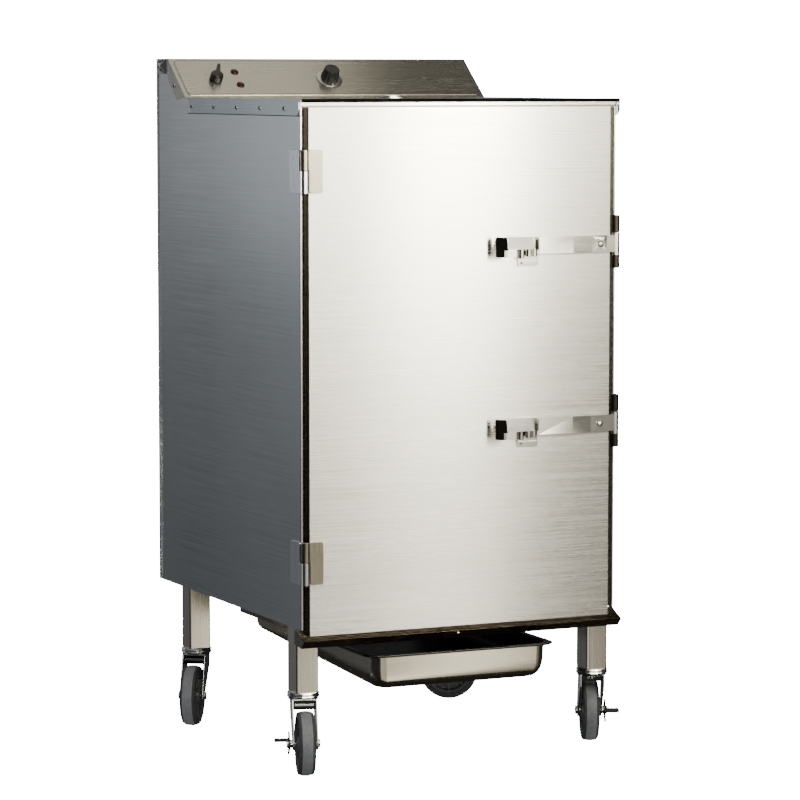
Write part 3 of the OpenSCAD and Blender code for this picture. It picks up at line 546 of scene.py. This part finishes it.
def thermostat_knob():
    """Fluted grip on a bright skirt with a ring of marks and an index line."""
    bm = bmesh.new()
    at = on_panel(dial)
    flutes = 14
    steps = flutes * 8
    rings = []
    # heights, with the grip's radius and the flutes' depth at each
    levels = ((2.6, 15.4, 0.0), (4.5, 15.7, 0.9), (12, 14.6, 1.1), (20.5, 13.3, 1.0), (22.8, 12.6, 0.5),
              (23.8, 11.2, 0.0), (24, 9.8, 0.0))
    for height, radius, depth in levels:
        ring = []
        for i in range(steps):
            a = 2 * math.pi * i / steps
            r = radius - depth * (0.5 + 0.5 * math.cos(flutes * a)) ** 2
            ring.append(at @ Vector((r * math.cos(a), r * math.sin(a), height)))
        rings.append(ring)
    loft(bm, rings)
    lathe(bm, [(3, -12), (3, 2.6)], at, 24)
    piece("thermostat_grip", bm, "thermostat_knob", "knob_plastic", stands_for=["thermostat_knob"])
    skirt = bmesh.new()
    lathe(skirt, [(14, 1.6), (22.6, 1.6), (22.9, 1.9), (22.6, 2.4), (20.5, 3.3), (14, 3.6)], at, 72)
    piece("thermostat_skirt", skirt, "thermostat_knob", "knob_plastic",
          steel("skirt steel", (0.62, 0.6, 0.55), 0.25, (4, 4, 4)))
    marks = bmesh.new()
    mark_r = 21.6
    for i in range(21):
        length = 3.2 if i % 5 == 0 else 1.8
        mark = at @ about_z(DIAL_START + DIAL_SWEEP / 20 * i)
        block(marks, (mark_r - length, -0.22, 2.55), (mark_r, 0.22, 3.05), 0, at=mark)
    piece("thermostat_marks", marks, "thermostat_knob", "knob_plastic", BLACK_INK_AND_SHADE)
    line = bmesh.new()
    block(line, (-0.5, -21.8, 3.1), (0.5, -15, 3.6), 0.15, at=at)
    piece("thermostat_index", line, "thermostat_knob", "knob_plastic", WHITE_INK)


def switch_knob():
    """Round base with a pointer: a narrow blade with a rounder tip, turned a little from upright."""
    bm = bmesh.new()
    at = on_panel(switch)
    lathe(bm, [(3, -12), (3, 1.7), (10.6, 1.7), (11, 2.3), (10.7, 10.8), (9.6, 12.6), (7.5, 13.4), (0, 13.6)],
          at, 56)
    tilt = at @ about_z(-22)
    outline = [(-3.6, -11.5), (-2.4, -12.8), (2.4, -12.8), (3.6, -11.5), (3.4, 10), (3.0, 20), (1.9, 24.4),
               (0, 25.2), (-1.9, 24.4), (-3.0, 20), (-3.4, 10)]
    prism(bm, outline, 2.2, 16.6, tilt, 0.9, 3)
    piece("switch_pointer", bm, "switch_knob", "knob_plastic", stands_for=["switch_knob"])


def pilot_lights():
    """Two domed red lenses in round bezels, one over the other."""
    glass = bmesh.new()
    bezel = bmesh.new()
    low, high = node_box("pilot_lights")
    lamp_x = (low.x + high.x) / 2
    for up in (-15.6, 18.8):
        at = on_panel(dial + Vector((lamp_x - dial.x, 0, 0)), up=up)
        lathe(bezel, [(4.2, 0.8), (7.0, 0.8), (6.9, 1.7), (6.1, 2.6), (5.2, 2.6), (4.6, 1.6)], at, 40)
        lathe(glass, [(4.6, 1.6), (4.4, 2.9), (3.4, 4.0), (1.8, 4.6), (0, 4.8)], at, 40)
        for i in range(8):
            spoke = at @ about_z(45 * i)
            block(glass, (2.2, -0.25, 2.9), (4.4, 0.25, 3.4), 0.1, at=spoke)
        lathe(glass, [(4.0, -16), (4.0, 1.6)], at, 24)
    piece("pilot_lenses", glass, "cabinet", "lens_plastic", stands_for=["pilot_lights"])
    piece("pilot_bezels", bezel, "cabinet", "lens_plastic",
          plastic("bezel plastic", (0.05, 0.004, 0.004), 0.4, shine=0.3))


def faceplate_print_and_edge_shadow():
    """A dark line round the plate's edge as painted shadow, plain setting marks round the two knobs, and a
    row of dashes under the dial.
    """
    ink = bmesh.new()
    low, high = node_box("control_faceplate")
    reach = high.x - 1.0
    down = (low.z - dial.z) / math.sin(slope_angle) + 1.6
    up = (high.z - dial.z) / math.sin(slope_angle) - 1.6
    line_w = 1.1
    # painted shadow: the dark line along the plate's edge
    outer = rounded_outline((-reach, down), (reach, up), 8)
    inner = rounded_outline((-reach + line_w, down + line_w), (reach - line_w, up - line_w), 7)
    at = on_panel(dial, out=0.86)
    rings = [[at @ Vector((x, y, 0)) for x, y in outline] for outline in (outer, inner)]
    loft(ink, rings, close_last=False)
    for a in (140, 95, 180, 235):
        block(ink, (17.5, -0.35, 0.8), (21, 0.35, 0.92), 0, at=on_panel(switch) @ about_z(a))
    for i in range(5):
        mark = on_panel(dial) @ about_z(DIAL_START + DIAL_SWEEP / 4 * i)
        block(ink, (25, -0.35, 0.8), (28, 0.35, 0.92), 0, at=mark)
    for i in range(13):
        dash = on_panel(dial, right=-24 + 4 * i, up=-30)
        block(ink, (-0.3, 0 if i % 3 else -1.6, 0.8), (0.3, 1.6, 0.92), 0, at=dash)
    piece("faceplate_print_and_edge_shadow", ink, "cabinet", "fascia_steel", BLACK_INK_AND_SHADE)


thermostat_knob()
switch_knob()
pilot_lights()
faceplate_print_and_edge_shadow()


def power_inlet():
    """Cable gland with a hexagonal body and a grooved clamping nut, open at its mouth."""
    bm = bmesh.new()
    low, high = node_box("power_inlet")
    centre = Vector(((low.x + high.x) / 2, node_box("back_panel")[1].y, (low.z + high.z) / 2))
    at = turned(centre, (0, 1, 0))
    lathe(bm, [(5, -6), (11, -6), (11, 0)], at, 40)
    prism(bm, hexagon(15), 0, 4, at, 0.6, 2)
    grooves = 18
    steps = grooves * 4
    rings = []
    # heights, with the nut's radius and the grooves' depth at each
    levels = ((4, 11.4, 0), (4.6, 11.9, 0.8), (10, 11.9, 0.8), (14, 10.9, 0.5), (17.6, 9.6, 0),
              (18.6, 8.6, 0), (18.6, 5.2, 0), (4, 5.0, 0))
    for height, radius, depth in levels:
        ring = []
        for i in range(steps):
            a = 2 * math.pi * i / steps
            r = radius - depth * (i % 4 == 0)
            ring.append(at @ Vector((r * math.cos(a), r * math.sin(a), height)))
        rings.append(ring)
    loft(bm, rings, close_last=False)
    piece("cable_gland", bm, "cabinet", "control_plastic", stands_for=["power_inlet"])


power_inlet()


# ---- Hinges, strikes and latches ----

def ease_barrel_webs(bases):
    """Narrows the webs behind the levers' barrels, so that the fully open levers clear them."""
    ease_m = 0.0006
    for latch in LATCHES:
        axis = joint_at(latch + "_latch_lever_turn")
        for vert in bases.data.vertices:
            off = FROM_FRAME @ vert.co - axis
            on_web_side = 4.3 < abs(off.x) < 5.1 and 0.4 < off.y and 3.5 < off.z < 13.5
            if on_web_side:
                vert.co.x -= ease_m * math.copysign(1, off.x)


def crease_bends(strap):
    """Keeps the strap's slight bends crisp, so that each flat length mirrors one place."""
    bm = bmesh.new()
    bm.from_mesh(strap.data)
    for edge in bm.edges:
        if len(edge.link_faces) == 2 and math.radians(0.8) < edge.calc_face_angle(0) < math.radians(14):
            edge.smooth = False
    bm.to_mesh(strap.data)
    bm.free()


def shade_grip(lever, tag):
    """Paints shade on the lever's curled grip: flat black left of a nearly upright cut through its plate."""
    axis = joint_at(tag + "_latch_lever_turn")
    lever.data.materials.append(SHADE_BLACK)
    bm = bmesh.new()
    bm.from_mesh(lever.data)
    bm.transform(FROM_FRAME)
    slant = Vector((1, 0, 0.12)).normalized()
    cut = axis + Vector((-46.5, 0, 0))
    lip_z = axis.z - 6.5        # the plate's lower lip stays bright
    curl_x = axis.x - 52        # the plate curls back from here
    for point, normal in ((cut, slant), (Vector((axis.x, axis.y, lip_z)), Vector((0, 0, 1))),
                          (Vector((curl_x, axis.y, axis.z)), Vector((1, 0, 0)))):
        bmesh.ops.bisect_plane(bm, geom=bm.verts[:] + bm.edges[:] + bm.faces[:], plane_co=point,
                               plane_no=normal, dist=0.0005)
    for face in bm.faces:
        middle = face.calc_center_median()
        if (middle - cut).dot(slant) < 0 and (middle.z > lip_z or middle.x < curl_x):
            face.material_index = 1
    bm.transform(TO_FRAME)
    bm.to_mesh(lever.data)
    bm.free()
    lever.data.set_sharp_from_angle(angle=math.radians(32))


refined("hinge_body_leaves", 0.8, 3, SIDE_LEAF)
# the door leaves take the darker steel as painted shade
refined("hinge_door_leaves", 0.8, 3, SHADED_LEAF)
ease_barrel_webs(refined("latch_bases", 0.4))
# painted shade: the strike brackets take the near-black steel
refined("strike_brackets", 0.8, 3, SHADE_STEEL)
for latch in LATCHES:
    shade_grip(refined(latch + "_latch_lever", 0.9, 3), latch)
    crease_bends(refined(latch + "_latch_strap", 0.8, 3))
    refined(latch + "_latch_hook", 0.6, 3)


def leaf_dimples(node, body, x, y, outward, mat):
    """Three spot weld dimples up each of a node's two hinge leaves."""
    bm = bmesh.new()
    low, high = node_box(node)
    for z in (low.z, high.z - HINGE_H):
        for share in (0.2, 0.5, 0.8):
            at = turned((x, y, z + HINGE_H * share), outward)
            lathe(bm, [(3.1, 0.0), (2.7, 0.12), (2.3, 0.02), (0, -0.06)], at, 24)
    piece(node + "_dimples", bm, body, "hardware_steel", mat)


def hinge_dimples():
    """Dimples on the body leaves, which lie on the left side, and on the door leaves, on the door's face."""
    leaf_x = node_box("hinge_body_leaves")[0].x
    leaf_dimples("hinge_body_leaves", "cabinet", leaf_x - 0.02, -half_d + 22, (-1, 0, 0), SIDE_LEAF)
    leaf_edge = node_box("hinge_door_leaves")[1].x
    door_face = node_box("door_skin")[0].y
    leaf_dimples("hinge_door_leaves", "door", leaf_edge - 9, door_face - 2.52, (0, -1, 0), SHADED_LEAF)


def hinge_pin_heads():
    """Domed heads under the pins of both hinges."""
    bm = bmesh.new()
    axis = joint_at("door_swing")
    low, high = node_box("hinge_door_leaves")
    for z in (low.z, high.z - HINGE_H):
        at = Matrix.Translation((axis.x, axis.y, z))
        lathe(bm, [(6.1, -0.05), (4.6, -0.6), (3.4, -0.6), (3.1, -1.3), (1.5, -1.9), (0, -2.0)], at, 32)
    piece("hinge_pin_heads", bm, "cabinet", "hardware_steel")


hinge_dimples()
hinge_pin_heads()


def strap_knuckle(tag):
    """The two rolls at the strap's near end, and the web that joins them to its tongue."""
    axis = joint_at(tag + "_latch_lever_turn")
    rolls = bmesh.new()
    for x in (-2.8, 6.8):
        at = Matrix.Translation((axis.x + x, axis.y - 5.2, axis.z))
        lathe(rolls, [(0, -17.4), (3.9, -17.4), (4.7, -16.7), (4.7, -6.2), (3.9, -5.5), (0, -5.5)], at, 32)
    block(rolls, (axis.x - 2.8, axis.y - 2.2, axis.z - 13), (axis.x + 10, axis.y + 0.7, axis.z - 7.2), 0.4)
    piece(tag + "_strap_knuckle", rolls, tag + "_latch_strap", "hardware_steel")


def bolt_washer(tag):
    """The washer under the head of the strap's bolt."""
    hook_y = node_box(tag + "_latch_hook")[0].y
    bolt_z = joint_at(tag + "_latch_lever_turn").z
    washer = bmesh.new()
    lathe(washer, [(7.6, -1.2), (7.6, -0.4), (7.0, 0.0), (3, 0.0)],
          turned((BOLT_X, hook_y + 2.9, bolt_z), (0, -1, 0)), 40)
    piece(tag + "_bolt_washer", washer, tag + "_latch_strap", "hardware_steel")


for latch in LATCHES:
    strap_knuckle(latch)
    bolt_washer(latch)


# ---- Underside ----

def gutter_rivet():
    """The one rivet in the gutter's sloping front, a little left of its middle."""
    bm = bmesh.new()
    low = node_box("drip_gutter")[0]
    at = turned((-12, low.y + 4.2, low.z + 6.6), (0, -0.76, -0.65))
    lathe(bm, [(3.4, 0.2), (3.1, 0.9), (2.0, 1.5), (0, 1.8)], at, 24)
    piece("gutter_rivets", bm, "cabinet", "hardware_steel")


def drip_pan():
    """Deep drawn pan with a rolled rim, rounded corners and a floor that falls to the front.

    Its outside is bright, and its inside is near-black as painted shade.
    """
    bm = bmesh.new()
    low, high = node_box("drip_pan")
    front_deep = high.z - low.z
    rear_deep = 31.0
    lip = 14.0
    sheet_t = 1.1

    def depth(y):
        return front_deep + (rear_deep - front_deep) * (y - low.y) / (high.y - low.y)

    def ring(inset, r, down=0.0, share=0.0):
        outline = rounded_outline((low.x + inset, low.y + inset), (high.x - inset, high.y - inset), r, 10)
        return [Vector((x, y, high.z - down - share * (depth(y) - sheet_t))) for x, y in outline]

    rim = [ring(1.4, 29, down=2.6), ring(0.6, 30, down=1.9), ring(0.8, 30, down=0.7), ring(1.6, 29, down=0.5),
           ring(3, 28, down=0.5), ring(lip - 3.5, 22, down=0.5), ring(lip - 1, 21, down=1.2),
           ring(lip, 20, down=3.2)]
    wall = [ring(lip + inset, r, share=share)
            for inset, r, share in ((0.5, 20, 0.40), (1.2, 20, 0.60), (3.2, 20, 0.745), (6.5, 19, 0.86),
                                    (11, 18, 0.945), (17, 16, 0.985), (26, 14, 1.0))]
    loft(bm, rim + wall)
    made = piece("drip_pan_drawn", bm, "drip_pan", "pan_steel", stands_for=["drip_pan"], smooth=50)
    sheet = made.modifiers.new("sheet", "SOLIDIFY")
    sheet.thickness = 0.001
    sheet.offset = 0.0
    sheet.material_offset = -1
    made.modifiers.move(1, 0)       # the sheet's thickness comes before its normals
    # painted shade: the pan's inside takes the near-black steel
    made.data.materials.append(SHADE_STEEL)
    for face in made.data.polygons:
        face.material_index = 1


gutter_rivet()
drip_pan()


def legs():
    """Square tubes with rounded corners, closed at the bottom."""
    bm = bmesh.new()
    low, high = node_box("legs")
    for x in (low.x, high.x - LEG_W):
        for y in (low.y, high.y - LEG_W):
            prism(bm, rounded_outline((x, y), (x + LEG_W, y + LEG_W), 3.2, 5), low.z, high.z)
            lathe(bm, [(14, low.z + 0.2), (12, low.z), (0, low.z)],
                  Matrix.Translation((x + LEG_W / 2, y + LEG_W / 2, 0)), 32)
    piece("leg_tubes", bm, "cabinet", "leg_steel", stands_for=["legs"])


legs()


# ---- Casters, about the swivel axis with the wheel trailing along +X ----

def caster_frame(tag):
    """A caster's frame, on the floor under its swivel axis, and the height of its wheel's axis."""
    swivel = joint_at(tag + "_caster_turn")
    wheel = joint_at(tag + "_wheel_roll")
    turn = math.atan2(wheel.y - swivel.y, wheel.x - swivel.x)
    return Matrix.Translation((swivel.x, swivel.y, 0)) @ Matrix.Rotation(turn, 4, "Z"), wheel.z


def race_rings():
    """Two ball races under each leg, and the king pin's nut under the fork."""
    bm = bmesh.new()
    top = node_box("legs")[0].z
    races = [(0, 0), (22.5, 0), (25.0, 0.9), (25.8, 2.6), (25.0, 4.2), (23.9, 4.9), (25.4, 5.6), (26.1, 7.2),
             (25.2, 8.8), (23.2, 9.4), (0, 9.4)]
    for tag in CASTERS:
        at = caster_frame(tag)[0]
        lathe(bm, [(r, top - down) for r, down in races], at, 56)
        prism(bm, hexagon(9), top - 19, top - 13, at, 0.7, 2)
        lathe(bm, [(6, top - 13), (6, top - 9.4)], at, 24)
    piece("race_rings", bm, "cabinet", "caster_steel", stands_for=["caster_races"])


def fork_arm(crown, hub_z):
    """The outline of a fork's tapering arm, from the crown down to the boss round the axle."""
    return [(-16, crown - 1), (-14, crown), (22, crown), (25, crown - 3), (CASTER_LEAD + 11, hub_z + 3),
            (CASTER_LEAD + 11, hub_z - 3), (CASTER_LEAD + 6, hub_z - 10), (CASTER_LEAD - 2, hub_z - 11),
            (CASTER_LEAD - 9, hub_z - 5), (CASTER_LEAD - 13, hub_z + 4), (-15, crown - 21), (-16, crown - 19)]


def caster_fork(tag):
    """Pressed fork: a domed crown, two tapering arms with axle bosses, and a bright bar on a dark skirt."""
    at, hub_z = caster_frame(tag)
    body = tag + "_caster_swivel"
    bm = bmesh.new()
    crown = node_box(tag + "_caster_fork")[1].z
    lathe(bm, [(6.3, crown), (18, crown), (22.5, crown - 0.5), (24, crown - 1.6), (23.2, crown - 2.5),
               (6.3, crown - 2.5)], at, 48)
    block(bm, (-15, -19.6, crown - 2.5), (23.5, 19.6, crown), 0.9, 3, at)
    arm_y = 18.75
    half_t = 1.25
    for side in (-1, 1):
        arm = at @ Matrix.Translation((0, side * arm_y, 0)) @ about_x(90)
        prism(bm, fork_arm(crown, hub_z), -half_t, half_t, arm, 0.8, 3)
        boss = at @ Matrix.Translation((CASTER_LEAD, side * arm_y, hub_z)) @ about_x(-90 * side)
        lathe(bm, [(10.2, 1.0), (9.6, 1.24), (7.4, 1.24)], boss, 32)
    block(bm, (19.4, -15.5, crown - 11.5), (21.4, 15.5, crown - 7.5), 0.8, 3, at)
    skirt = bmesh.new()
    block(skirt, (17.0, -17.4, crown - 17), (19.5, 17.4, crown - 2.4), 0.5, 2, at)
    piece(tag + "_fork_skirt", skirt, body, "caster_steel", DARK_FORK)
    piece(tag + "_fork_pressing", bm, body, "caster_steel", stands_for=[tag + "_caster_fork"])
    refined(tag + "_caster_axle", 0.6, 3)


def mirrored(profile, crest=()):
    """A lathe profile up to the wheel's middle plane, the points on that plane, and its mirror image."""
    return [*profile, *crest, *((r, -z) for r, z in reversed(profile))]


def caster_tyre(tag, spin):
    """Round-shouldered tyre, with painted shade on its sidewalls, which are darker than the tread."""
    tyre = bmesh.new()
    tyre_r = 50.8
    shoulder = [(tyre_r - 12, -12.6), (tyre_r - 8.5, -13.0), (tyre_r - 5.6, -13.3), (tyre_r - 3.5, -12.6),
                (tyre_r - 2.0, -10.8), (tyre_r - 1.1, -8.2), (tyre_r - 0.35, -5)]
    lathe(tyre, mirrored(shoulder, [(tyre_r, 0)]), spin, 96)
    to_wheel = spin.inverted()
    tread_w = 18.0
    shaded_sides = [abs((to_wheel @ face.calc_center_median()).z) > tread_w / 2 for face in tyre.faces]
    made = piece(tag + "_tyre_tread", tyre, tag + "_caster_wheel", "tyre_rubber",
                 stands_for=[tag + "_caster_tyre"], smooth=40)
    made.data.materials.append(SHADED_SIDEWALL)
    for face, wall in zip(made.data.polygons, shaded_sides):
        face.material_index = int(wall)


def caster_hub(tag, spin):
    """Moulded wheel centre with a thin web and eight ribs on each side."""
    hub = bmesh.new()
    flank = [(4.06, -14), (9.5, -14), (10.6, -13.4), (11.6, -12.2), (13, -5), (30, -3.6), (33.5, -5.2),
             (36, -12), (38.8, -12.4)]
    lathe(hub, mirrored(flank), spin, 96)
    for i in range(8):
        rib = spin @ about_z(45 * i)
        for side in (-1, 1):
            z = sorted((side * 3.4, side * 10.2))
            block(hub, (11.4, -1.3, z[0]), (35.4, 1.3, z[1]), 0.4, 2, rib)
    piece(tag + "_wheel_centre", hub, tag + "_caster_wheel", "hub_plastic", stands_for=[tag + "_caster_hub"])


def caster_wheel(tag):
    at, hub_z = caster_frame(tag)
    spin = at @ Matrix.Translation((CASTER_LEAD, 0, hub_z)) @ about_x(90)
    caster_tyre(tag, spin)
    caster_hub(tag, spin)


race_rings()
for caster in CASTERS:
    caster_fork(caster)
    caster_wheel(caster)
for caster in BRAKED_CASTERS:
    refined(caster + "_brake_pedal", 0.5, 3)


# ---- Studio ----

def stage_plane(name, low_m, high_m, mat):
    """A level rectangle that belongs to the stage."""
    bm = bmesh.new()
    corners = [(low_m[0], low_m[1]), (high_m[0], low_m[1]), (high_m[0], high_m[1]), (low_m[0], high_m[1])]
    bm.faces.new([bm.verts.new((x, y, 0)) for x, y in corners])
    mesh = bpy.data.meshes.new(name)
    bm.to_mesh(mesh)
    bm.free()
    mesh.materials.append(mat)
    plane = bpy.data.objects.new(name, mesh)
    bpy.context.scene.collection.objects.link(plane)
    return plane


def card_glow(name, colour, strength, across, upward):
    """A card's glow, from its levels at places across it and up it, each from 0 to 1."""
    mat = bpy.data.materials.new(name)
    mat.use_nodes = True
    tree = mat.node_tree
    tree.nodes.clear()
    coords = tree.nodes.new("ShaderNodeTexCoord")
    split = tree.nodes.new("ShaderNodeSeparateXYZ")
    glow = tree.nodes.new("ShaderNodeEmission")
    output = tree.nodes.new("ShaderNodeOutputMaterial")
    tree.links.new(coords.outputs["Generated"], split.inputs["Vector"])
    both = tree.nodes.new("ShaderNodeVectorMath")
    both.operation = "MULTIPLY"
    for i, (axis, stops) in enumerate((("X", across), ("Y", upward))):
        level = ramp(tree, split.outputs[axis], [(place, (height,) * 3) for place, height in stops])
        tree.links.new(level, both.inputs[i])
    tinted = tree.nodes.new("ShaderNodeVectorMath")
    tinted.operation = "MULTIPLY"
    tinted.inputs[1].default_value = colour
    tree.links.new(both.outputs["Vector"], tinted.inputs[0])
    tree.links.new(tinted.outputs["Vector"], glow.inputs["Color"])
    glow.inputs["Strength"].default_value = strength
    tree.links.new(glow.outputs["Emission"], output.inputs["Surface"])
    return mat


def reflector(name, centre_m, across, upward, size_m, mat):
    """A card seen only in reflections, as a photographer sets beside polished metal."""
    card = stage_plane(name, (-size_m[0] / 2, -size_m[1] / 2), (size_m[0] / 2, size_m[1] / 2), mat)
    across, upward = Vector(across), Vector(upward)
    card.location = centre_m
    card.rotation_mode = "QUATERNION"
    card.rotation_quaternion = Matrix((across, upward, across.cross(upward))).transposed().to_quaternion()
    card.visible_camera = False
    card.visible_diffuse = False
    card.visible_shadow = False


def studio_floor():
    """A white floor, which the metal does not mirror."""
    mat, tree, shader = material("pale floor")
    shader.inputs["Roughness"].default_value = 0.9
    shader.inputs["Specular IOR Level"].default_value = 0.0
    shader.inputs["Emission Color"].default_value = (1, 1, 1, 1)
    shader.inputs["Emission Strength"].default_value = 22.0
    clouds = object_noise(tree, 0.6, (1, 1, 1), 2.0)
    tree.links.new(ramp(tree, clouds, [(0.3, (0.93, 0.93, 0.93)), (0.7, (0.96, 0.96, 0.96))]),
                   shader.inputs["Base Color"])
    floor = stage_plane("studio_floor", (-60, -60), (60, 60), mat)
    floor.visible_glossy = False
    floor.visible_diffuse = False


def studio_world():
    """White where the camera looks, soft white on matt surfaces, and a dim room where metal mirrors it."""
    world = bpy.data.worlds.new("studio")
    bpy.context.scene.world = world
    world.use_nodes = True
    tree = world.node_tree
    tree.nodes.clear()
    ray = tree.nodes.new("ShaderNodeLightPath")
    backgrounds = {}
    for name, colour, strength in (("seen", (1, 1, 1), 24.0), ("soft", (0.95, 0.97, 1.0), 0.75),
                                   ("room", (1, 1, 1), 1.0)):
        backgrounds[name] = tree.nodes.new("ShaderNodeBackground")
        backgrounds[name].inputs["Color"].default_value = (*colour, 1)
        backgrounds[name].inputs["Strength"].default_value = strength
    coords = tree.nodes.new("ShaderNodeTexCoord")
    split = tree.nodes.new("ShaderNodeSeparateXYZ")
    tree.links.new(coords.outputs["Generated"], split.inputs["Vector"])
    height = remap(tree, split.outputs["Z"], -1, 1, 0, 1)
    tree.links.new(ramp(tree, height, [(0.0, (0.02, 0.018, 0.015)), (0.5, (0.03, 0.03, 0.03)),
                                       (0.74, (0.06, 0.06, 0.06)), (0.82, (0.45, 0.44, 0.42)),
                                       (1.0, (0.5, 0.49, 0.47))]),
                   backgrounds["room"].inputs["Color"])
    matt = tree.nodes.new("ShaderNodeMixShader")
    tree.links.new(ray.outputs["Is Glossy Ray"], matt.inputs[0])
    tree.links.new(backgrounds["soft"].outputs[0], matt.inputs[1])
    tree.links.new(backgrounds["room"].outputs[0], matt.inputs[2])
    view = tree.nodes.new("ShaderNodeMixShader")
    tree.links.new(ray.outputs["Is Camera Ray"], view.inputs[0])
    tree.links.new(matt.outputs[0], view.inputs[1])
    tree.links.new(backgrounds["seen"].outputs[0], view.inputs[2])
    output = tree.nodes.new("ShaderNodeOutputWorld")
    tree.links.new(view.outputs[0], output.inputs["Surface"])


def softbox(name, place_m, target_m, size_m, power, colour):
    """An area lamp aimed at target_m, which the metal does not mirror: the cards are there for that."""
    data = bpy.data.lights.new(name, "AREA")
    data.shape = "RECTANGLE"
    data.size, data.size_y = size_m
    data.energy = power
    data.color = colour
    lamp = bpy.data.objects.new(name, data)
    lamp.location = place_m
    lamp.rotation_mode = "QUATERNION"
    lamp.rotation_quaternion = (Vector(target_m) - Vector(place_m)).to_track_quat("-Z", "Y")
    lamp.visible_glossy = False
    bpy.context.scene.collection.objects.link(lamp)


def front_card():
    """The card that the door mirrors: a bright column that fades to both sides and downwards."""
    across = ((0.0, 0.3), (0.40, 0.27), (0.44, 0.31), (0.475, 0.95), (0.53, 1.0), (0.545, 0.38),
              (0.558, 0.21), (0.577, 0.20), (0.60, 0.11), (1.0, 0.08))
    upward = ((0.0, 0.05), (0.38, 0.043), (0.45, 0.03), (0.52, 0.034), (0.58, 0.06), (0.65, 0.15),
              (0.71, 0.55), (0.74, 1.0), (0.78, 1.0), (0.80, 0.03), (1.0, 0.0))
    reflector("front_card", (0.6, -1.55, 0.3), (1, 0, 0), (0, 0, 1), (3.0, 3.4),
              card_glow("cream card", (1.0, 0.945, 0.79), 60.0, across, upward))


def left_card():
    """The card that the left side mirrors, darker towards the back and downwards."""
    across = ((0.0, 1.0), (0.38, 1.0), (0.5, 0.7), (0.62, 0.40), (1.0, 0.30))
    upward = ((0.0, 0.17), (0.36, 0.215), (0.45, 0.29), (0.53, 0.33), (0.58, 0.42), (0.62, 0.60),
              (0.67, 0.85), (0.72, 1.0))
    reflector("left_card", (-1.5, 2.64, 0.35), (0, 1, 0), (0, 0, 1), (3.0, 2.6),
              card_glow("blue grey card", (0.95, 1.0, 1.04), 0.92, across, upward))


def top_card():
    """The card that the sloping panel mirrors, darker to the right."""
    across = ((0.0, 1.0), (0.47, 1.0), (0.50, 0.8), (0.53, 0.40), (0.57, 0.12), (1.0, 0.05))
    upward = ((0.0, 1.0), (1.0, 0.9))
    reflector("top_card", (0.55, 0.37, 2.3), (1, 0, 0), (0, 1, 0), (2.2, 1.6),
              card_glow("beige card", (1.0, 0.965, 0.80), 0.75, across, upward))


def back_card():
    """A dim card behind the cabinet."""
    across = ((0.0, 0.5), (0.35, 1.0), (0.6, 0.7), (1.0, 0.3))
    upward = ((0.0, 0.3), (0.5, 0.55), (1.0, 1.0))
    reflector("back_card", (0.0, 3.4, 0.6), (-1, 0, 0), (0, 0, 1), (4.5, 3.2),
              card_glow("grey card", (0.97, 1.0, 1.02), 0.55, across, upward))


def lever_cards():
    """A small bright card over each latch, mirrored in the sloping plate of its lever."""
    even = ((0.0, 1.0), (1.0, 1.0))
    glow = card_glow("lever card", (1.0, 0.93, 0.80), 4.5, even, even)
    height_m = 2.29
    way_x, way_y, way_z = 0.42, -0.40, 0.815       # from the plate to its card
    for tag in LATCHES:
        plate_m = Vector(JOINT[tag + "_latch_lever_turn"]["pos_m"]) + Vector((-0.022, 0, 0))
        run = (height_m - plate_m.z) / way_z
        reflector(tag + "_lever_card", (plate_m.x + way_x * run, plate_m.y + way_y * run, height_m),
                  (1, 0, 0), (0, 1, 0), (0.2, 0.2), glow)


def camera():
    place = Vector((-2328.7, -5093.4, 1086.0))
    heading, pitch = math.radians(24.89), math.radians(-5.44)
    data = bpy.data.cameras.new("camera")
    data.sensor_width = 36.0
    data.lens = 152.6
    data.clip_end = 200.0
    made = bpy.data.objects.new("camera", data)
    bpy.context.scene.collection.objects.link(made)
    made.location = TO_FRAME @ place
    level = math.cos(pitch)
    way = Vector((math.sin(heading) * level, math.cos(heading) * level, math.sin(pitch)))
    made.rotation_mode = "QUATERNION"
    made.rotation_quaternion = way.to_track_quat("-Z", "Y")
    bpy.context.scene.camera = made


studio_floor()
studio_world()
softbox("key_softbox", (-1.4, -3.0, 2.6), (0, 0, 0.6), (1.6, 1.6), 55, (1.0, 0.985, 0.95))
softbox("top_softbox", (0.0, -0.3, 3.8), (0, 0, 0), (2.6, 2.6), 70, (1.0, 1.0, 1.0))
front_card()
left_card()
top_card()
back_card()
lever_cards()
camera()
